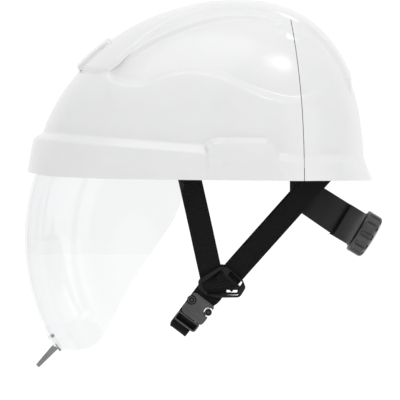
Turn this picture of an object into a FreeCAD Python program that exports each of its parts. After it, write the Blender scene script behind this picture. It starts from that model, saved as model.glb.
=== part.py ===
"""A hard hat with a face shield that slides up between its shell and its suspension.

Millimetres. +Z is up, the front of the hat faces -Y and the wearer's left is +X.
The origin is on the mid-plane at the height of the brim's lower edge, over the middle of the head.
"""

import FreeCAD, Part

import math
import os

import Sketcher
from FreeCAD import Placement, Rotation, Vector

doc = FreeCAD.newDocument("hard_hat")
sheet = doc.addObject("Spreadsheet::Sheet", "Dimensions")
nodes = []

DIMENSIONS = {
    # shell
    "dome_top": 156.2,
    "front_reach": 176.2,
    "rear_reach": 113.5,
    "side_reach": 107.0,
    "crown_back": 4.4,
    "shell_wall": 2.6,
    "band_proud": 6.0,
    "boss_proud": 9.5,
    "seam_gap": 0.4,
    "screw_bite": 1.5,
    "ridge_proud": 2.6,
    "badge_proud": 5.4,
    "slot_width": 31.0,
    "slot_gap": 5.0,
    "slot_depth": 24.0,
    # face shield and its guide rails, all about one axis across the hat
    "swing_back": 7.0,
    "swing_down": 52.0,
    "shield_radius": 187.5,
    "shield_half_width": 92.0,
    "shield_wall": 2.0,
    "rail_radius": 97.0,
    "rail_inside": 88.8,
    "rail_outside": 95.6,
    "rail_half_width": 6.4,
    "runner_half_width": 4.0,
    # suspension
    "head_half_width": 74.0,
    "head_half_length": 94.0,
    "head_back": 2.0,
    "headband_wall": 1.6,
    "frame_wall": 2.4,
    "web_wall": 1.4,
    "crown_web_width": 19.0,
    # nape adjuster, in its own tilted frame behind the head
    "nape_back": 111.4,
    "nape_down": 43.3,
    "nape_tilt": 31.1,
    "housing_height": 31.0,
    "housing_half_width": 34.0,
    "arm_side": 66.0,
    "arm_wall": 1.8,
    "arm_bend": 30.0,
    "tooth_module": 1.0,
    "knob_radius": 20.0,
    "knob_depth": 15.4,
    # chin strap
    "strap_width": 19.0,
    "strap_wall": 1.4,
    "chin_web_width": 17.6,
    "slider_side": 66.3,
    "slider_wall": 2.2,
    "buckle_side": 71.6,
    "buckle_length": 22.0,
    "buckle_width": 21.0,
    "buckle_thick": 8.0,
}

for row, (alias, value) in enumerate(DIMENSIONS.items(), start=1):
    sheet.set(f"A{row}", alias)
    sheet.set(f"B{row}", str(value))
    sheet.setAlias(f"B{row}", alias)
doc.recompute()


def dim(alias):
    """A driving dimension's value, read from the sheet."""
    return float(sheet.get(alias))


def cell(alias):
    """A driving dimension as setExpression names it."""
    return f"Dimensions.{alias}"


# ---------------------------------------------------------------- helpers


def keep(obj, name):
    """Register a finished sub-part under its own name."""
    obj.Label = name
    nodes.append(obj)
    return obj


def shaped(name, shape, placement=None):
    """A sub-part whose free-form shape is worked out here from the sheet."""
    obj = doc.addObject("Part::Feature", name)
    obj.Shape = shape
    if placement is not None:
        obj.Placement = placement
    return keep(obj, name)


def plane_of(body, role):
    """One of the body's own origin planes."""
    return next(f for f in body.Origin.OriginFeatures if f.Role == role)


def new_body(name, placement=None):
    """An empty body, placed."""
    body = doc.addObject("PartDesign::Body", name)
    if placement is not None:
        body.Placement = placement
    return body


def new_sketch(body, name, role):
    """A sketch on one of the body's origin planes."""
    sketch = body.newObject("Sketcher::SketchObject", name)
    sketch.AttachmentSupport = (plane_of(body, role), [""])
    sketch.MapMode = "FlatFace"
    return sketch


def add_loop(sketch, points):
    """A closed outline of straight lines through the points."""
    count = len(points)
    first = sketch.GeometryCount
    for i, (u, v) in enumerate(points):
        end = points[(i + 1) % count]
        sketch.addGeometry(Part.LineSegment(Vector(u, v, 0), Vector(*end, 0)), False)
    for i in range(count):
        after = first + (i + 1) % count
        sketch.addConstraint(Sketcher.Constraint("Coincident", first + i, 2, after, 1))
    return first


def add_box(sketch, centre, width, height):
    """A rectangle about a centre; width and height are cells or expressions."""
    u, v = centre
    corners = [(u - 5, v - 5), (u + 5, v - 5), (u + 5, v + 5), (u - 5, v + 5)]
    first = add_loop(sketch, corners)
    for edge, kind in enumerate(("Horizontal", "Vertical", "Horizontal", "Vertical")):
        sketch.addConstraint(Sketcher.Constraint(kind, first + edge))
    w = sketch.addConstraint(Sketcher.Constraint("DistanceX", first, 1, first, 2, 10.0))
    t = sketch.addConstraint(Sketcher.Constraint("DistanceY", first + 1, 1, first + 1, 2, 10.0))
    across = sketch.addConstraint(Sketcher.Constraint("DistanceX", -1, 1, first, 2, u + 5 or 0.01))
    up = sketch.addConstraint(Sketcher.Constraint("DistanceY", -1, 1, first + 1, 2, v + 5 or 0.01))
    sketch.setExpression(f"Constraints[{w}]", width)
    sketch.setExpression(f"Constraints[{t}]", height)
    sketch.setExpression(f"Constraints[{across}]", f"{u} + ({width}) / 2")
    sketch.setExpression(f"Constraints[{up}]", f"{v} + ({height}) / 2")


def add_circle(sketch, centre, radius):
    """A circle about a centre; radius is a cell or an expression."""
    circle = Part.Circle(Vector(*centre, 0), Vector(0, 0, 1), 1.0)
    first = sketch.addGeometry(circle, False)
    if centre == (0, 0):
        sketch.addConstraint(Sketcher.Constraint("Coincident", first, 3, -1, 1))
    size = sketch.addConstraint(Sketcher.Constraint("Radius", first, 1.0))
    sketch.setExpression(f"Constraints[{size}]", radius)


def pad(body, sketch, length, both_ways=False, reverse=False):
    """Raise a sketch; length is a cell or an expression."""
    feature = body.newObject("PartDesign::Pad", sketch.Name + "_pad")
    feature.Profile = sketch
    feature.setExpression("Length", length)
    feature.Midplane = both_ways
    feature.Reversed = reverse
    return feature


def pocket(body, sketch, length, both_ways=False, reverse=False):
    """Sink a sketch; length is a cell or an expression. The cut must remove something."""
    doc.recompute()
    before = body.Shape.Volume
    feature = body.newObject("PartDesign::Pocket", sketch.Name + "_pocket")
    feature.Profile = sketch
    feature.setExpression("Length", length)
    feature.Midplane = both_ways
    feature.Reversed = reverse
    doc.recompute()
    if body.Shape.Volume > before - 0.01:
        raise RuntimeError(f"{sketch.Name} cuts nothing")
    return feature


def prism(points, half_width):
    """A solid across the hat whose side view is the outline through (back, up) points."""
    corners = [Vector(-half_width, back, up) for back, up in points]
    face = Part.Face(Part.makePolygon(corners + corners[:1]))
    return face.extrude(Vector(2 * half_width, 0, 0))


def plan_prism(points, low, high):
    """A solid standing on a plan outline, mirrored about the mid-plane: (x, back) points."""
    right = [Vector(x, back, low) for x, back in points]
    left = [Vector(-x, back, low) for x, back in reversed(points)]
    wire = Part.makePolygon(right + left + right[:1])
    return Part.Face(wire).extrude(Vector(0, 0, high - low))


def curve_through(points, closed=False):
    """A smooth edge through the points."""
    curve = Part.BSplineCurve()
    curve.interpolate(points, PeriodicFlag=closed)
    return curve.toShape()


def strip_face(outer, inner):
    """The face between two runs of edges, closed across both ends."""
    ends = [
        Part.makeLine(outer[0].Vertexes[0].Point, inner[0].Vertexes[0].Point),
        Part.makeLine(outer[-1].Vertexes[-1].Point, inner[-1].Vertexes[-1].Point),
    ]
    return Part.Face(Part.Wire(Part.sortEdges(outer + inner + ends)[0]))


def mirrored(shape):
    """The same shape on the wearer's right."""
    return shape.mirror(Vector(0, 0, 0), Vector(1, 0, 0))


def pin(base, way, radius, length, head_radius=0.0, head=0.0):
    """A shank with a round head, in line with way, head first."""
    shank = Part.makeCylinder(radius, length, base, way)
    if head:
        way = Vector(way).normalize()
        shank = shank.fuse(Part.makeCylinder(head_radius, head, base - way * head, way))
    return shank


# ---------------------------------------------------------------- shell

TOP = dim("dome_top")
CROWN_BACK = dim("crown_back")
FRONT_BLUNT, REAR_BLUNT = 2.35, 2.25


def reaches(up, grow):
    """How far the dome's surface is from its axis at one height: to the front, the rear and a side."""
    share = min(max(up, 0) / (TOP + grow), 1)
    front = (dim("front_reach") + grow) * (1 - share**1.954) ** (1 / 1.918)
    rear = (dim("rear_reach") + grow) * (1 - share**2.478) ** (1 / 2.42)
    side = (dim("side_reach") + grow) * (1 - share**2.25) ** (1 / 2.2)
    return front, rear, side


def ring(up, grow, rear_grow=None):
    """The dome's level section, grown outward, as one closed curve."""
    front, rear, side = reaches(up, grow)
    if rear_grow is not None:
        rear = reaches(up, rear_grow)[1]
    points = []
    for step in range(32):
        turn = math.pi * (1 + step / 16)
        ahead, across = math.cos(turn), math.sin(turn)
        blunt, reach = (FRONT_BLUNT, front) if ahead > 0 else (REAR_BLUNT, rear)
        far = (abs(ahead / reach) ** blunt + abs(across / side) ** blunt) ** (-1 / blunt)
        points.append(Vector(far * across, CROWN_BACK - far * ahead, up))
    return Part.Wire([curve_through(points, closed=True)])


def dome(grow, floor=-12.0):
    """The solid under the dome's surface, grown outward."""
    angles = (10, 20, 30, 40, 50, 59, 67, 74, 80, 85)
    levels = [floor, 0.0] + [(TOP + grow) * math.sin(math.radians(a)) for a in angles]
    sections = [ring(level, grow) for level in levels]
    return Part.makeLoft(sections + [Part.Vertex(0, CROWN_BACK, TOP + grow)], True, False)


inner_dome = dome(-dim("shell_wall"), -20)
shell_bores = []


def wall_screw(seat, way, radius, head_radius, head):
    """A screw from its seat into the shell's wall, whose blind hole is kept for the shell."""
    path = inner_dome.common(Part.makeLine(seat, seat + way * 140))
    length = max((corner.Point - seat).Length for corner in path.Vertexes) + dim("screw_bite")
    bore = Part.makeCylinder(radius + 0.05, length + 0.1, seat, way)
    shell_bores.append(bore)
    return pin(seat, way, radius, length, head_radius, head)


def rim(grow, lower):
    """The proud band round the bottom of the shell: its top edge steps up to the front."""
    flare = [(-12, grow + 3), (0, grow + 2.0), (16, grow - 4.5), (48, grow - 4.5)]
    block = Part.makeLoft([ring(up, grow, rear) for up, rear in flare], True, False)
    edge = [(-200, 41), (-171, 37), (-114, 31.7), (-26, 24.6), (60, 16), (140, 17.5)]
    outline = [(back, up - lower) for back, up in edge] + [(140, -12), (-200, -12)]
    return block.common(prism(outline, 150))


# ---------------------------------------------------------------- face shield

AXIS = Vector(0, dim("swing_back"), -dim("swing_down"))
RAIL_RADIUS = dim("rail_radius")


def swing_point(radius, angle, across=0.0):
    """A point at a radius and an angle above level, seen from the shield's axis, towards the front."""
    turn = math.radians(angle)
    return Vector(across, AXIS.y - radius * math.cos(turn), AXIS.z + radius * math.sin(turn))


def arc_block(inner, outer, low, high, left, right):
    """A curved block about the shield's axis: radii, angles above level, and sides."""
    edges = []
    for radius, start, end in ((outer, low, high), (inner, high, low)):
        middle = swing_point(radius, (low + high) / 2, left)
        ends = swing_point(radius, start, left), swing_point(radius, end, left)
        edges.append(Part.Arc(ends[0], middle, ends[1]).toShape())
        other = outer if radius == inner else inner
        edges.append(Part.makeLine(ends[1], swing_point(other, end, left)))
    return Part.Face(Part.Wire(edges)).extrude(Vector(right - left, 0, 0))


def bowl(grow):
    """The solid inside the shield's skin: a blunt curve turned about the axis."""
    radius = dim("shield_radius") + grow
    half = dim("shield_half_width") + grow
    points = []
    for step in range(17):
        share = math.sin(math.pi / 2 * step / 16)
        reach = radius * (1 - share**3.0) ** (1 / 2.6)
        points.append(AXIS + Vector(half * share, 0, reach))
    edges = [curve_through(points), Part.makeLine(points[-1], AXIS), Part.makeLine(AXIS, points[0])]
    half_bowl = Part.Face(Part.Wire(edges)).revolve(AXIS, Vector(1, 0, 0), 360)
    return half_bowl.fuse(mirrored(half_bowl))


SHIELD_SIDE = [
    (-200, 24.5), (-100, 30.5), (-50, 30.5), (-38, 6), (-46, -30), (-88.9, -93.3),
    (-106, -127), (-116.7, -144.3), (-124, -149), (-136, -151.4), (-147, -149.6), (-158, -143),
    (-200, -110),
]
SHIELD_WALL = dim("shield_wall")
INNER_RADIUS = dim("shield_radius") - SHIELD_WALL
GRIP_ANGLE = -27.5
RUNNER_LOW, RUNNER_HIGH = 37.0, 51.0
SWING = 46.0
inward = swing_point(0, 0) - swing_point(1, GRIP_ANGLE)

grip_rivets = []
grip_bores = []
for across in (-8, 8):
    head_seat = swing_point(dim("shield_radius") + 0.1, GRIP_ANGLE, across)
    grip_rivets.append(pin(head_seat, inward, 1.4, 5.4, 2.4, 0.8))
    grip_bores.append(Part.makeCylinder(1.45, 12, head_seat - inward * 5, inward))
runner_bores = []
for side in (-1, 1):
    for angle in (RUNNER_LOW + 4, RUNNER_HIGH - 4):
        base = swing_point(RAIL_RADIUS, angle, side * 80)
        runner_bores.append(Part.makeCylinder(1.25, 14, base, Vector(side, 0, 0)))

skin = bowl(0).cut(bowl(-SHIELD_WALL)).common(prism(SHIELD_SIDE, 120))
shaped("face_shield", skin.cut(grip_bores + runner_bores))

GRIP_SIDE = [(-149.9, -146.4), (-151.4, -148.6), (-167.9, -164.6), (-170.4, -162.0), (-156.3, -145.3),
             (-152.0, -147.6)]
skin_room = bowl(0.05).cut(bowl(-SHIELD_WALL - 0.05)).common(prism(SHIELD_SIDE, 20))
grip = arc_block(INNER_RADIUS - 2.9, INNER_RADIUS - 0.4, -32.2, -24.5, -14, 14)
grip = grip.fuse(prism(GRIP_SIDE, 14)).cut(skin_room)
shaped("shield_grip_tab", grip.cut(grip_bores))
shaped("grip_tab_rivets", Part.makeCompound(grip_rivets))

RAIL_IN, RAIL_OUT = dim("rail_inside"), dim("rail_outside")
RAIL_HALF = dim("rail_half_width")
RUNNER_HALF = dim("runner_half_width")
RAIL_LOW, RAIL_HIGH = RUNNER_LOW - 2.5, RUNNER_HIGH + SWING + 2.5
EARS = (48.0, 71.0, 94.0)


def guide_rail():
    """The left rail: a curved channel open towards the head, closed at both ends, with three ears."""
    inner, outer = RAIL_RADIUS - RAIL_HALF, RAIL_RADIUS + RAIL_HALF
    rail = arc_block(inner, outer, RAIL_LOW - 1, RAIL_HIGH + 1, RAIL_IN, RAIL_OUT)
    groove_half = RUNNER_HALF + 0.35
    radii = RAIL_RADIUS - groove_half, RAIL_RADIUS + groove_half
    groove = arc_block(*radii, RAIL_LOW, RAIL_HIGH, RAIL_IN - 1, RAIL_OUT - 1.8)
    rail = rail.cut(groove)
    for angle in EARS:
        centre = swing_point(outer + 4.0, angle, RAIL_OUT - 1.8)
        ear = Part.makeCylinder(4.6, 1.8, centre, Vector(1, 0, 0))
        neck = arc_block(outer - 1, outer + 4, angle - 2.2, angle + 2.2, RAIL_OUT - 1.8, RAIL_OUT)
        post = Part.makeCylinder(3.6, 30, centre, Vector(1, 0, 0))
        bore = Part.makeCylinder(1.3, 30, centre - Vector(1, 0, 0), Vector(1, 0, 0))
        rail = rail.fuse([ear, neck, post]).cut(bore)
    return rail.common(dome(-dim("shell_wall") - 0.1, -20))


def rail_screws():
    """The left rail's screws, heads towards the head."""
    seats = [swing_point(RAIL_RADIUS + RAIL_HALF + 4.0, angle, RAIL_OUT - 1.85) for angle in EARS]
    return [wall_screw(seat, Vector(1, 0, 0), 1.25, 2.8, 1.6) for seat in seats]


runner = arc_block(
    RAIL_RADIUS - RUNNER_HALF, RAIL_RADIUS + RUNNER_HALF, RUNNER_LOW, RUNNER_HIGH, 80, RAIL_OUT - 2.2
)
runner = runner.cut(bowl(0.05)).cut(runner_bores)
runner_screws = []
for angle in (RUNNER_LOW + 4, RUNNER_HIGH - 4):
    seat = swing_point(RAIL_RADIUS, angle, 83.6)
    runner_screws.append(pin(seat, Vector(1, 0, 0), 1.2, 8.0, 2.4, 1.3))
rail = guide_rail()
left_screws = Part.makeCompound(rail_screws())
shell_bores += [mirrored(bore) for bore in shell_bores]
for side, place in (("left", lambda s: s), ("right", mirrored)):
    shaped(f"guide_rail_{side}", place(rail))
    shaped(f"shield_runner_{side}", place(runner))
    shaped(f"guide_rail_screws_{side}", place(left_screws))
    shaped(f"runner_screws_{side}", place(Part.makeCompound(runner_screws)))


# ---------------------------------------------------------------- suspension

HEAD_BACK = dim("head_back")
FRAME_GAP = 5.0


def oval(half_width, half_length, up):
    """A blunt level oval about the head."""
    points = []
    for step in range(24):
        turn = math.pi * step / 12
        c, s = math.cos(turn), math.sin(turn)
        far = (abs(c / half_length) ** 2.3 + abs(s / half_width) ** 2.3) ** (-1 / 2.3)
        points.append(Vector(far * s, HEAD_BACK - far * c, up))
    return Part.Wire([curve_through(points, closed=True)])


def oval_block(outside, low, high):
    """A solid oval about the head, outside it by a distance."""
    face = Part.Face(oval(dim("head_half_width") + outside, dim("head_half_length") + outside, low))
    return face.extrude(Vector(0, 0, high - low))


def hoop(inside, wall, low, high):
    """An upright oval band, inside away from the head by a distance."""
    return oval_block(inside + wall, low, high).cut(oval_block(inside, low, high))


def slab(back_from, back_to, low, high, half_width=130):
    """A block across the hat between two depths and two heights."""
    corner = Vector(-half_width, back_from, low)
    return Part.makeBox(2 * half_width, back_to - back_from, high - low, corner)


def radial_box(azimuth, start, end, width, low, high):
    """A block lying along a direction from the middle of the head, azimuth from the front."""
    block = Part.makeBox(width, end - start, high - low, Vector(-width / 2, -end, low))
    block.rotate(Vector(0, 0, 0), Vector(0, 0, 1), azimuth)
    return block.translate(Vector(0, HEAD_BACK, 0))


def facing(azimuth):
    """The level direction away from the head at an azimuth from the front."""
    turn = math.radians(azimuth)
    return Vector(math.sin(turn), -math.cos(turn), 0)


HEADBAND_WALL = dim("headband_wall")
FRAME_WALL = dim("frame_wall")
ARM_AZIMUTHS = (124, 152, -152, -124)
frame_ring = hoop(FRAME_GAP, FRAME_WALL, 22, 36)
arms = [radial_box(azimuth, 70, 140, 11, 23, 28.8) for azimuth in ARM_AZIMUTHS]
feet_zone = dome(-dim("shell_wall") - 3.2, -20)
foot_layer = dome(-dim("shell_wall") - 0.1, -20).cut(feet_zone)
feet = [radial_box(azimuth, 70, 140, 19, 20, 34).common(foot_layer) for azimuth in ARM_AZIMUTHS]
arms = [arm.common(feet_zone).cut(oval_block(FRAME_GAP + 1, 0, 60)) for arm in arms]
frame = frame_ring.fuse(arms + feet)
frame_screws = []
frame_bores = []
for azimuth in ARM_AZIMUTHS:
    for shift in (-7.2, 7.2):
        out = facing(azimuth)
        along = Vector(-out.y, out.x, 0) * shift
        start = Vector(0, HEAD_BACK, 27) + along
        inside = feet_zone.common(Part.makeLine(start, start + out * 140))
        end = max((v.Point for v in inside.Vertexes), key=lambda point: (point - start).Length)
        frame_screws.append(wall_screw(end - out * 0.6, out, 1.3, 2.6, 1.5))
        frame_bores.append(Part.makeCylinder(1.35, 12, end - out * 4, out))
        frame_bores.append(Part.makeCylinder(3.0, 4, end - out * 4.6, out))
shaped("suspension_frame", frame.cut(frame_bores))
shaped("suspension_frame_screws", Part.makeCompound(frame_screws))

headband = hoop(0, HEADBAND_WALL, 4, 34).common(slab(-130, 52, 0, 60))
shaped("headband", headband)
sweatband = hoop(-3.4, 3.3, 4.6, 33.4).common(slab(-130, -18, 0, 60))
shaped("sweatband", sweatband)
HANGER_AZIMUTHS = (36, -36, 100, -100)
hanger_hoop = hoop(HEADBAND_WALL + 0.05, FRAME_GAP - HEADBAND_WALL - 0.1, 18, 34)
hangers = [hanger_hoop.common(radial_box(azimuth, 30, 130, 16, 18, 34)) for azimuth in HANGER_AZIMUTHS]
shaped("headband_hangers", Part.makeCompound(hangers))


def crown_strap(azimuth, top, reach):
    """A webbing strap over the head between two points of the frame."""
    wall = dim("web_wall")
    lines = []
    for more in (0, wall):
        points = []
        for step in range(17):
            turn = math.pi * step / 16
            c, s = math.cos(turn), math.sin(turn)
            far = (abs(c / (reach + more)) ** 2.2 + abs(s / (top - 24 + more)) ** 2.2) ** (-1 / 2.2)
            points.append(Vector(0, far * c, 24 + far * s))
        lines.append(points)
    curves = [curve_through(points) for points in lines]
    width = dim("crown_web_width")
    strap = strip_face(curves[:1], curves[1:]).extrude(Vector(width, 0, 0))
    strap.translate(Vector(-width / 2, 0, 0))
    strap.rotate(Vector(0, 0, 0), Vector(0, 0, 1), azimuth)
    return strap.translate(Vector(0, HEAD_BACK, 0))


STRAPS = {
    "fore_and_aft": (0, 127.0, 97.0),
    "left_to_right": (58, 129.0, 83.0),
    "right_to_left": (-58, 131.0, 83.0),
}
strap_room = oval_block(FRAME_GAP - 0.1, -10, 170).cut(oval_block(HEADBAND_WALL + 0.1, -10, 34.2))
for name, (azimuth, top, reach) in STRAPS.items():
    shaped(f"crown_strap_{name}", crown_strap(azimuth, top, reach).common(strap_room))
CLIP_AZIMUTHS = (0, 180, 58, -58, 122, -122)
clip_hoop = hoop(FRAME_GAP + FRAME_WALL + 0.05, 2.4, 29, 35.5)
clips = [clip_hoop.common(radial_box(azimuth, 30, 130, 24, 29, 35.5)) for azimuth in CLIP_AZIMUTHS]
shaped("crown_strap_clips", Part.makeCompound(clips))
CAP_RADIUS, CAP_TOP, CAP_THICK = 112.0, 126.4, 4.5
cap_centre = Vector(0, HEAD_BACK, CAP_TOP - CAP_RADIUS)
cap = Part.makeSphere(CAP_RADIUS, cap_centre).cut(Part.makeSphere(CAP_RADIUS - CAP_THICK, cap_centre))
shaped("crown_pad", cap.common(Part.makeCylinder(38, 60, Vector(0, HEAD_BACK, 90))))


# ---------------------------------------------------------------- nape adjuster

NAPE = Placement(
    Vector(0, dim("nape_back"), -dim("nape_down")), Rotation(Vector(1, 0, 0), -dim("nape_tilt"))
)
TEETH = 12
PITCH_RADIUS = TEETH * dim("tooth_module") / 2
ARM_WALL = dim("arm_wall")
ARM_BACK = -4.2
BEND = dim("arm_bend")
BEND_START = dim("arm_side") + ARM_WALL / 2 - BEND
HOUSING_HALF = dim("housing_half_width")
HALF_HEIGHT = dim("housing_height") / 2
SLACK = 0.08


def involute(angle):
    """The involute of an angle."""
    return math.tan(angle) - angle


def pinion_outline():
    """The pinion's outline in its own plane, a tooth pointing up."""
    base = PITCH_RADIUS * math.cos(math.radians(20))
    half_tooth = math.pi / (2 * TEETH) - SLACK / PITCH_RADIUS
    flank = []
    for share in (0, 0.35, 0.7, 1):
        radius = base + share * (PITCH_RADIUS + 0.8 - base)
        angle = half_tooth + involute(math.radians(20)) - involute(math.acos(base / radius))
        flank.append((radius, angle))
    flank.insert(0, (PITCH_RADIUS - 1.15, flank[0][1]))
    outline = []
    for tooth in range(TEETH):
        middle = math.pi / 2 + 2 * math.pi * tooth / TEETH
        for radius, angle in flank:
            outline.append((radius * math.cos(middle - angle), radius * math.sin(middle - angle)))
        for radius, angle in reversed(flank):
            outline.append((radius * math.cos(middle + angle), radius * math.sin(middle + angle)))
    return outline


def rack_solid():
    """The straight toothed end of the left arm, above the pinion, teeth down, a gap over the middle."""
    lean = math.tan(math.radians(20))
    pitch = math.pi * dim("tooth_module")
    half = pitch / 4 - SLACK
    tip, root, back = PITCH_RADIUS - 0.7, PITCH_RADIUS + 1.1, 13.6
    outline = [(-18.5, root)]
    for tooth in range(-6, 9):
        middle = (tooth + 0.5) * pitch
        wide, narrow = half + (root - PITCH_RADIUS) * lean, half - (PITCH_RADIUS - tip) * lean
        outline += [(middle - wide, root), (middle - narrow, tip)]
        outline += [(middle + narrow, tip), (middle + wide, root)]
    outline += [(50, root), (50, back), (-18.5, back)]
    face = Part.Face(Part.makePolygon([Vector(x, ARM_BACK, up) for x, up in outline + outline[:1]]))
    return face.extrude(Vector(0, -ARM_WALL, 0))


def bend_points(radius, swing):
    """The start, middle and end of a bend round the side of the head, in the nape's own frame."""
    centre = Vector(BEND_START, ARM_BACK - BEND, 0)
    turns = [math.radians(swing * share) for share in (0, 0.5, 1)]
    return [centre + Vector(math.sin(turn), math.cos(turn), 0) * radius for turn in turns]


def arm_strip():
    """The left arm's plan shape raised both ways: straight behind the head, then bent forward."""
    runs = []
    for out in (0, ARM_WALL):
        radius = BEND - out
        start, middle, end = bend_points(radius, 90)
        lines = Part.makeLine(Vector(0, start.y, 0), start), Part.makeLine(end, Vector(end.x, -74, 0))
        runs.append([lines[0], Part.Arc(start, middle, end).toShape(), lines[1]])
    strip = strip_face(*runs).extrude(Vector(0, 0, 160))
    return strip.translate(Vector(0, 0, -80))


ARM_SIDE_VIEW = [(53.5, 18), (62, 13), (79, -5.3), (102, -19.7), (125, -33.6), (110, -59.5), (87.5, -45.8),
                 (61.6, -28), (53.5, -17)]
arm_zone = prism(ARM_SIDE_VIEW, 90)
arm_zone.transformShape(NAPE.inverse().toMatrix())
NECK_HEIGHT = 6.6
strip = arm_strip()
arm_shape = strip.common(arm_zone)
rack_room = strip.fuse(Part.makeBox(60, ARM_WALL, 40, Vector(-30, ARM_BACK - ARM_WALL, -20)))
rack = rack_solid().common(rack_room)


def arm_with_neck(neck_low):
    """The left arm's side plate and the neck that joins it to its rack."""
    plate_zone = Part.makeBox(100, 200, 200, Vector(48, -120, -100))
    neck_zone = Part.makeBox(100, 200, NECK_HEIGHT, Vector(40, -120, neck_low))
    return arm_shape.common(plate_zone.fuse(neck_zone))


left_arm = arm_with_neck(PITCH_RADIUS + 1.0).fuse(rack)
shaped("nape_arm_left", left_arm.removeSplitter(), NAPE)
right_rack = rack.copy()
right_rack.Placement = Placement(Vector(0, 0, 0), Rotation(Vector(0, 1, 0), 180))
right_arm = mirrored(arm_with_neck(-PITCH_RADIUS - 1.0 - NECK_HEIGHT)).fuse(right_rack)
shaped("nape_arm_right", right_arm.removeSplitter(), NAPE)


def housing_shape():
    """The wrap-around rear housing: back wall, bent wings, top and bottom walls, and a shaft hole."""
    outer_bend, wall = BEND + 4.4, 2.4
    runs = []
    for radius in (outer_bend, outer_bend - wall):
        start, middle, end = bend_points(radius, 58)
        runs.append([Part.makeLine(Vector(0, start.y, 0), start), Part.Arc(start, middle, end).toShape()])
    wing = strip_face(*runs).extrude(Vector(0, 0, 2 * HALF_HEIGHT)).translate(Vector(0, 0, -HALF_HEIGHT))
    housing = wing.fuse(mirrored(wing))
    for low in (-HALF_HEIGHT, HALF_HEIGHT - 1.6):
        wall_box = Part.makeBox(2 * HOUSING_HALF, 9, 1.6, Vector(-HOUSING_HALF, -9.2, low))
        housing = housing.fuse(wall_box)
    hole = Part.makeCylinder(3.05, 20, Vector(0, -10, 0), Vector(0, 1, 0))
    return housing.cut(hole).removeSplitter()


shaped("nape_housing", housing_shape(), NAPE)

cover = new_body("nape_cover", NAPE)
cover_plan = new_sketch(cover, "cover_plan", "XZ_Plane")
add_box(cover_plan, (0, 0), "46.0", f"{cell('housing_height')} - 3.6")
pad(cover, cover_plan, "2.2")
cover.Placement = NAPE.multiply(Placement(Vector(0, -6.6, 0), Rotation()))
keep(cover, "nape_cover")

pad_body = new_body("nape_pad")
pad_plan = new_sketch(pad_body, "nape_pad_plan", "XZ_Plane")
add_box(pad_plan, (0, 0), "58.0", f"{cell('housing_height')} - 4.0")
pad(pad_body, pad_plan, "5.4")
pad_body.Placement = NAPE.multiply(Placement(Vector(0, -9.4, 0), Rotation()))
keep(pad_body, "nape_pad")

pinion = new_body("ratchet_pinion", NAPE)
pinion_plan = new_sketch(pinion, "pinion_plan", "XZ_Plane")
add_loop(pinion_plan, pinion_outline())
pad(pinion, pinion_plan, cell("arm_wall"))
shaft_plan = new_sketch(pinion, "shaft_plan", "XZ_Plane")
add_circle(shaft_plan, (0, 0), "3.0")
pad(pinion, shaft_plan, "9.8", reverse=True)
pinion.Placement = NAPE.multiply(Placement(Vector(0, ARM_BACK, 0), Rotation()))
keep(pinion, "ratchet_pinion")

knob = new_body("adjuster_knob", NAPE)
rim_plan = new_sketch(knob, "knob_rim", "XZ_Plane")
add_circle(rim_plan, (0, 0), cell("knob_radius"))
pad(knob, rim_plan, cell("knob_depth"), reverse=True)
hollow_plan = new_sketch(knob, "knob_hollow", "XZ_Plane")
add_circle(hollow_plan, (0, 0), f"{cell('knob_radius')} - 3.2")
pocket(knob, hollow_plan, "5.0")
shaft_bore = new_sketch(knob, "knob_bore", "XZ_Plane")
add_circle(shaft_bore, (0, 0), "3.0")
pocket(knob, shaft_bore, "5.8")
FLUTES, FLUTE_RADIUS = 12, 3.9
flute_plan = new_sketch(knob, "knob_flute", "XZ_Plane")
flute_turns = [math.radians(22.5 * step) for step in range(16)]
flute_up = dim("knob_radius") + 2.6
add_loop(flute_plan, [
    (FLUTE_RADIUS * math.cos(turn), flute_up + FLUTE_RADIUS * math.sin(turn)) for turn in flute_turns
])
flute = pocket(knob, flute_plan, f"{cell('knob_depth')} - 3.4")
flutes = knob.newObject("PartDesign::PolarPattern", "knob_flutes")
flutes.Originals = [flute]
flutes.Axis = (flute_plan, ["N_Axis"])
flutes.Angle = 360
flutes.Occurrences = FLUTES
knob.Tip = flutes
knob.Placement = NAPE.multiply(Placement(Vector(0, 0.6, 0), Rotation()))
keep(knob, "adjuster_knob")


def ratchet_ring():
    """The ring of inward teeth that the knob's spring clicks over."""
    inner, outer = [], 14.6
    for step in range(24):
        turn = 2 * math.pi * step / 24
        for more, radius in ((0, 13.0), (0.09, 11.9)):
            inner.append(Vector(radius * math.cos(turn + more), 0, radius * math.sin(turn + more)))
    hole = Part.Face(Part.makePolygon(inner + inner[:1])).extrude(Vector(0, 6, 0))
    ring_body = Part.makeCylinder(outer, 3.2, Vector(0, 0.22, 0), Vector(0, 1, 0))
    return ring_body.cut(hole.translate(Vector(0, -1, 0)))


def click_spring():
    """The knob's flat spring: a hub and two arms that reach almost to the ring's teeth."""
    hub = Part.makeCylinder(6.2, 1.6, Vector(0, 2.2, 0), Vector(0, 1, 0))
    leaf = Part.makeBox(23.2, 1.6, 2.2, Vector(-11.6, 2.2, -1.1))
    return hub.fuse(leaf).cut(Part.makeCylinder(3.02, 8, Vector(0, -1, 0), Vector(0, 1, 0)))


shaped("ratchet_ring", ratchet_ring(), NAPE)
shaped("click_spring", click_spring(), NAPE)


# ---------------------------------------------------------------- chin strap

STRAP_WALL = dim("strap_wall")
STRAP_WIDTH = dim("strap_width")
BUCKLE_CENTRE = Vector(dim("buckle_side"), -28.4, -112.2)
DOWN_STRAP = Vector(0, -0.6, -0.8)
ACROSS_STRAP = Vector(0, 0.8, -0.6)
BUCKLE = Placement(BUCKLE_CENTRE, Rotation(Vector(1, 0, 0), ACROSS_STRAP, DOWN_STRAP * -1, "XYZ"))


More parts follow.
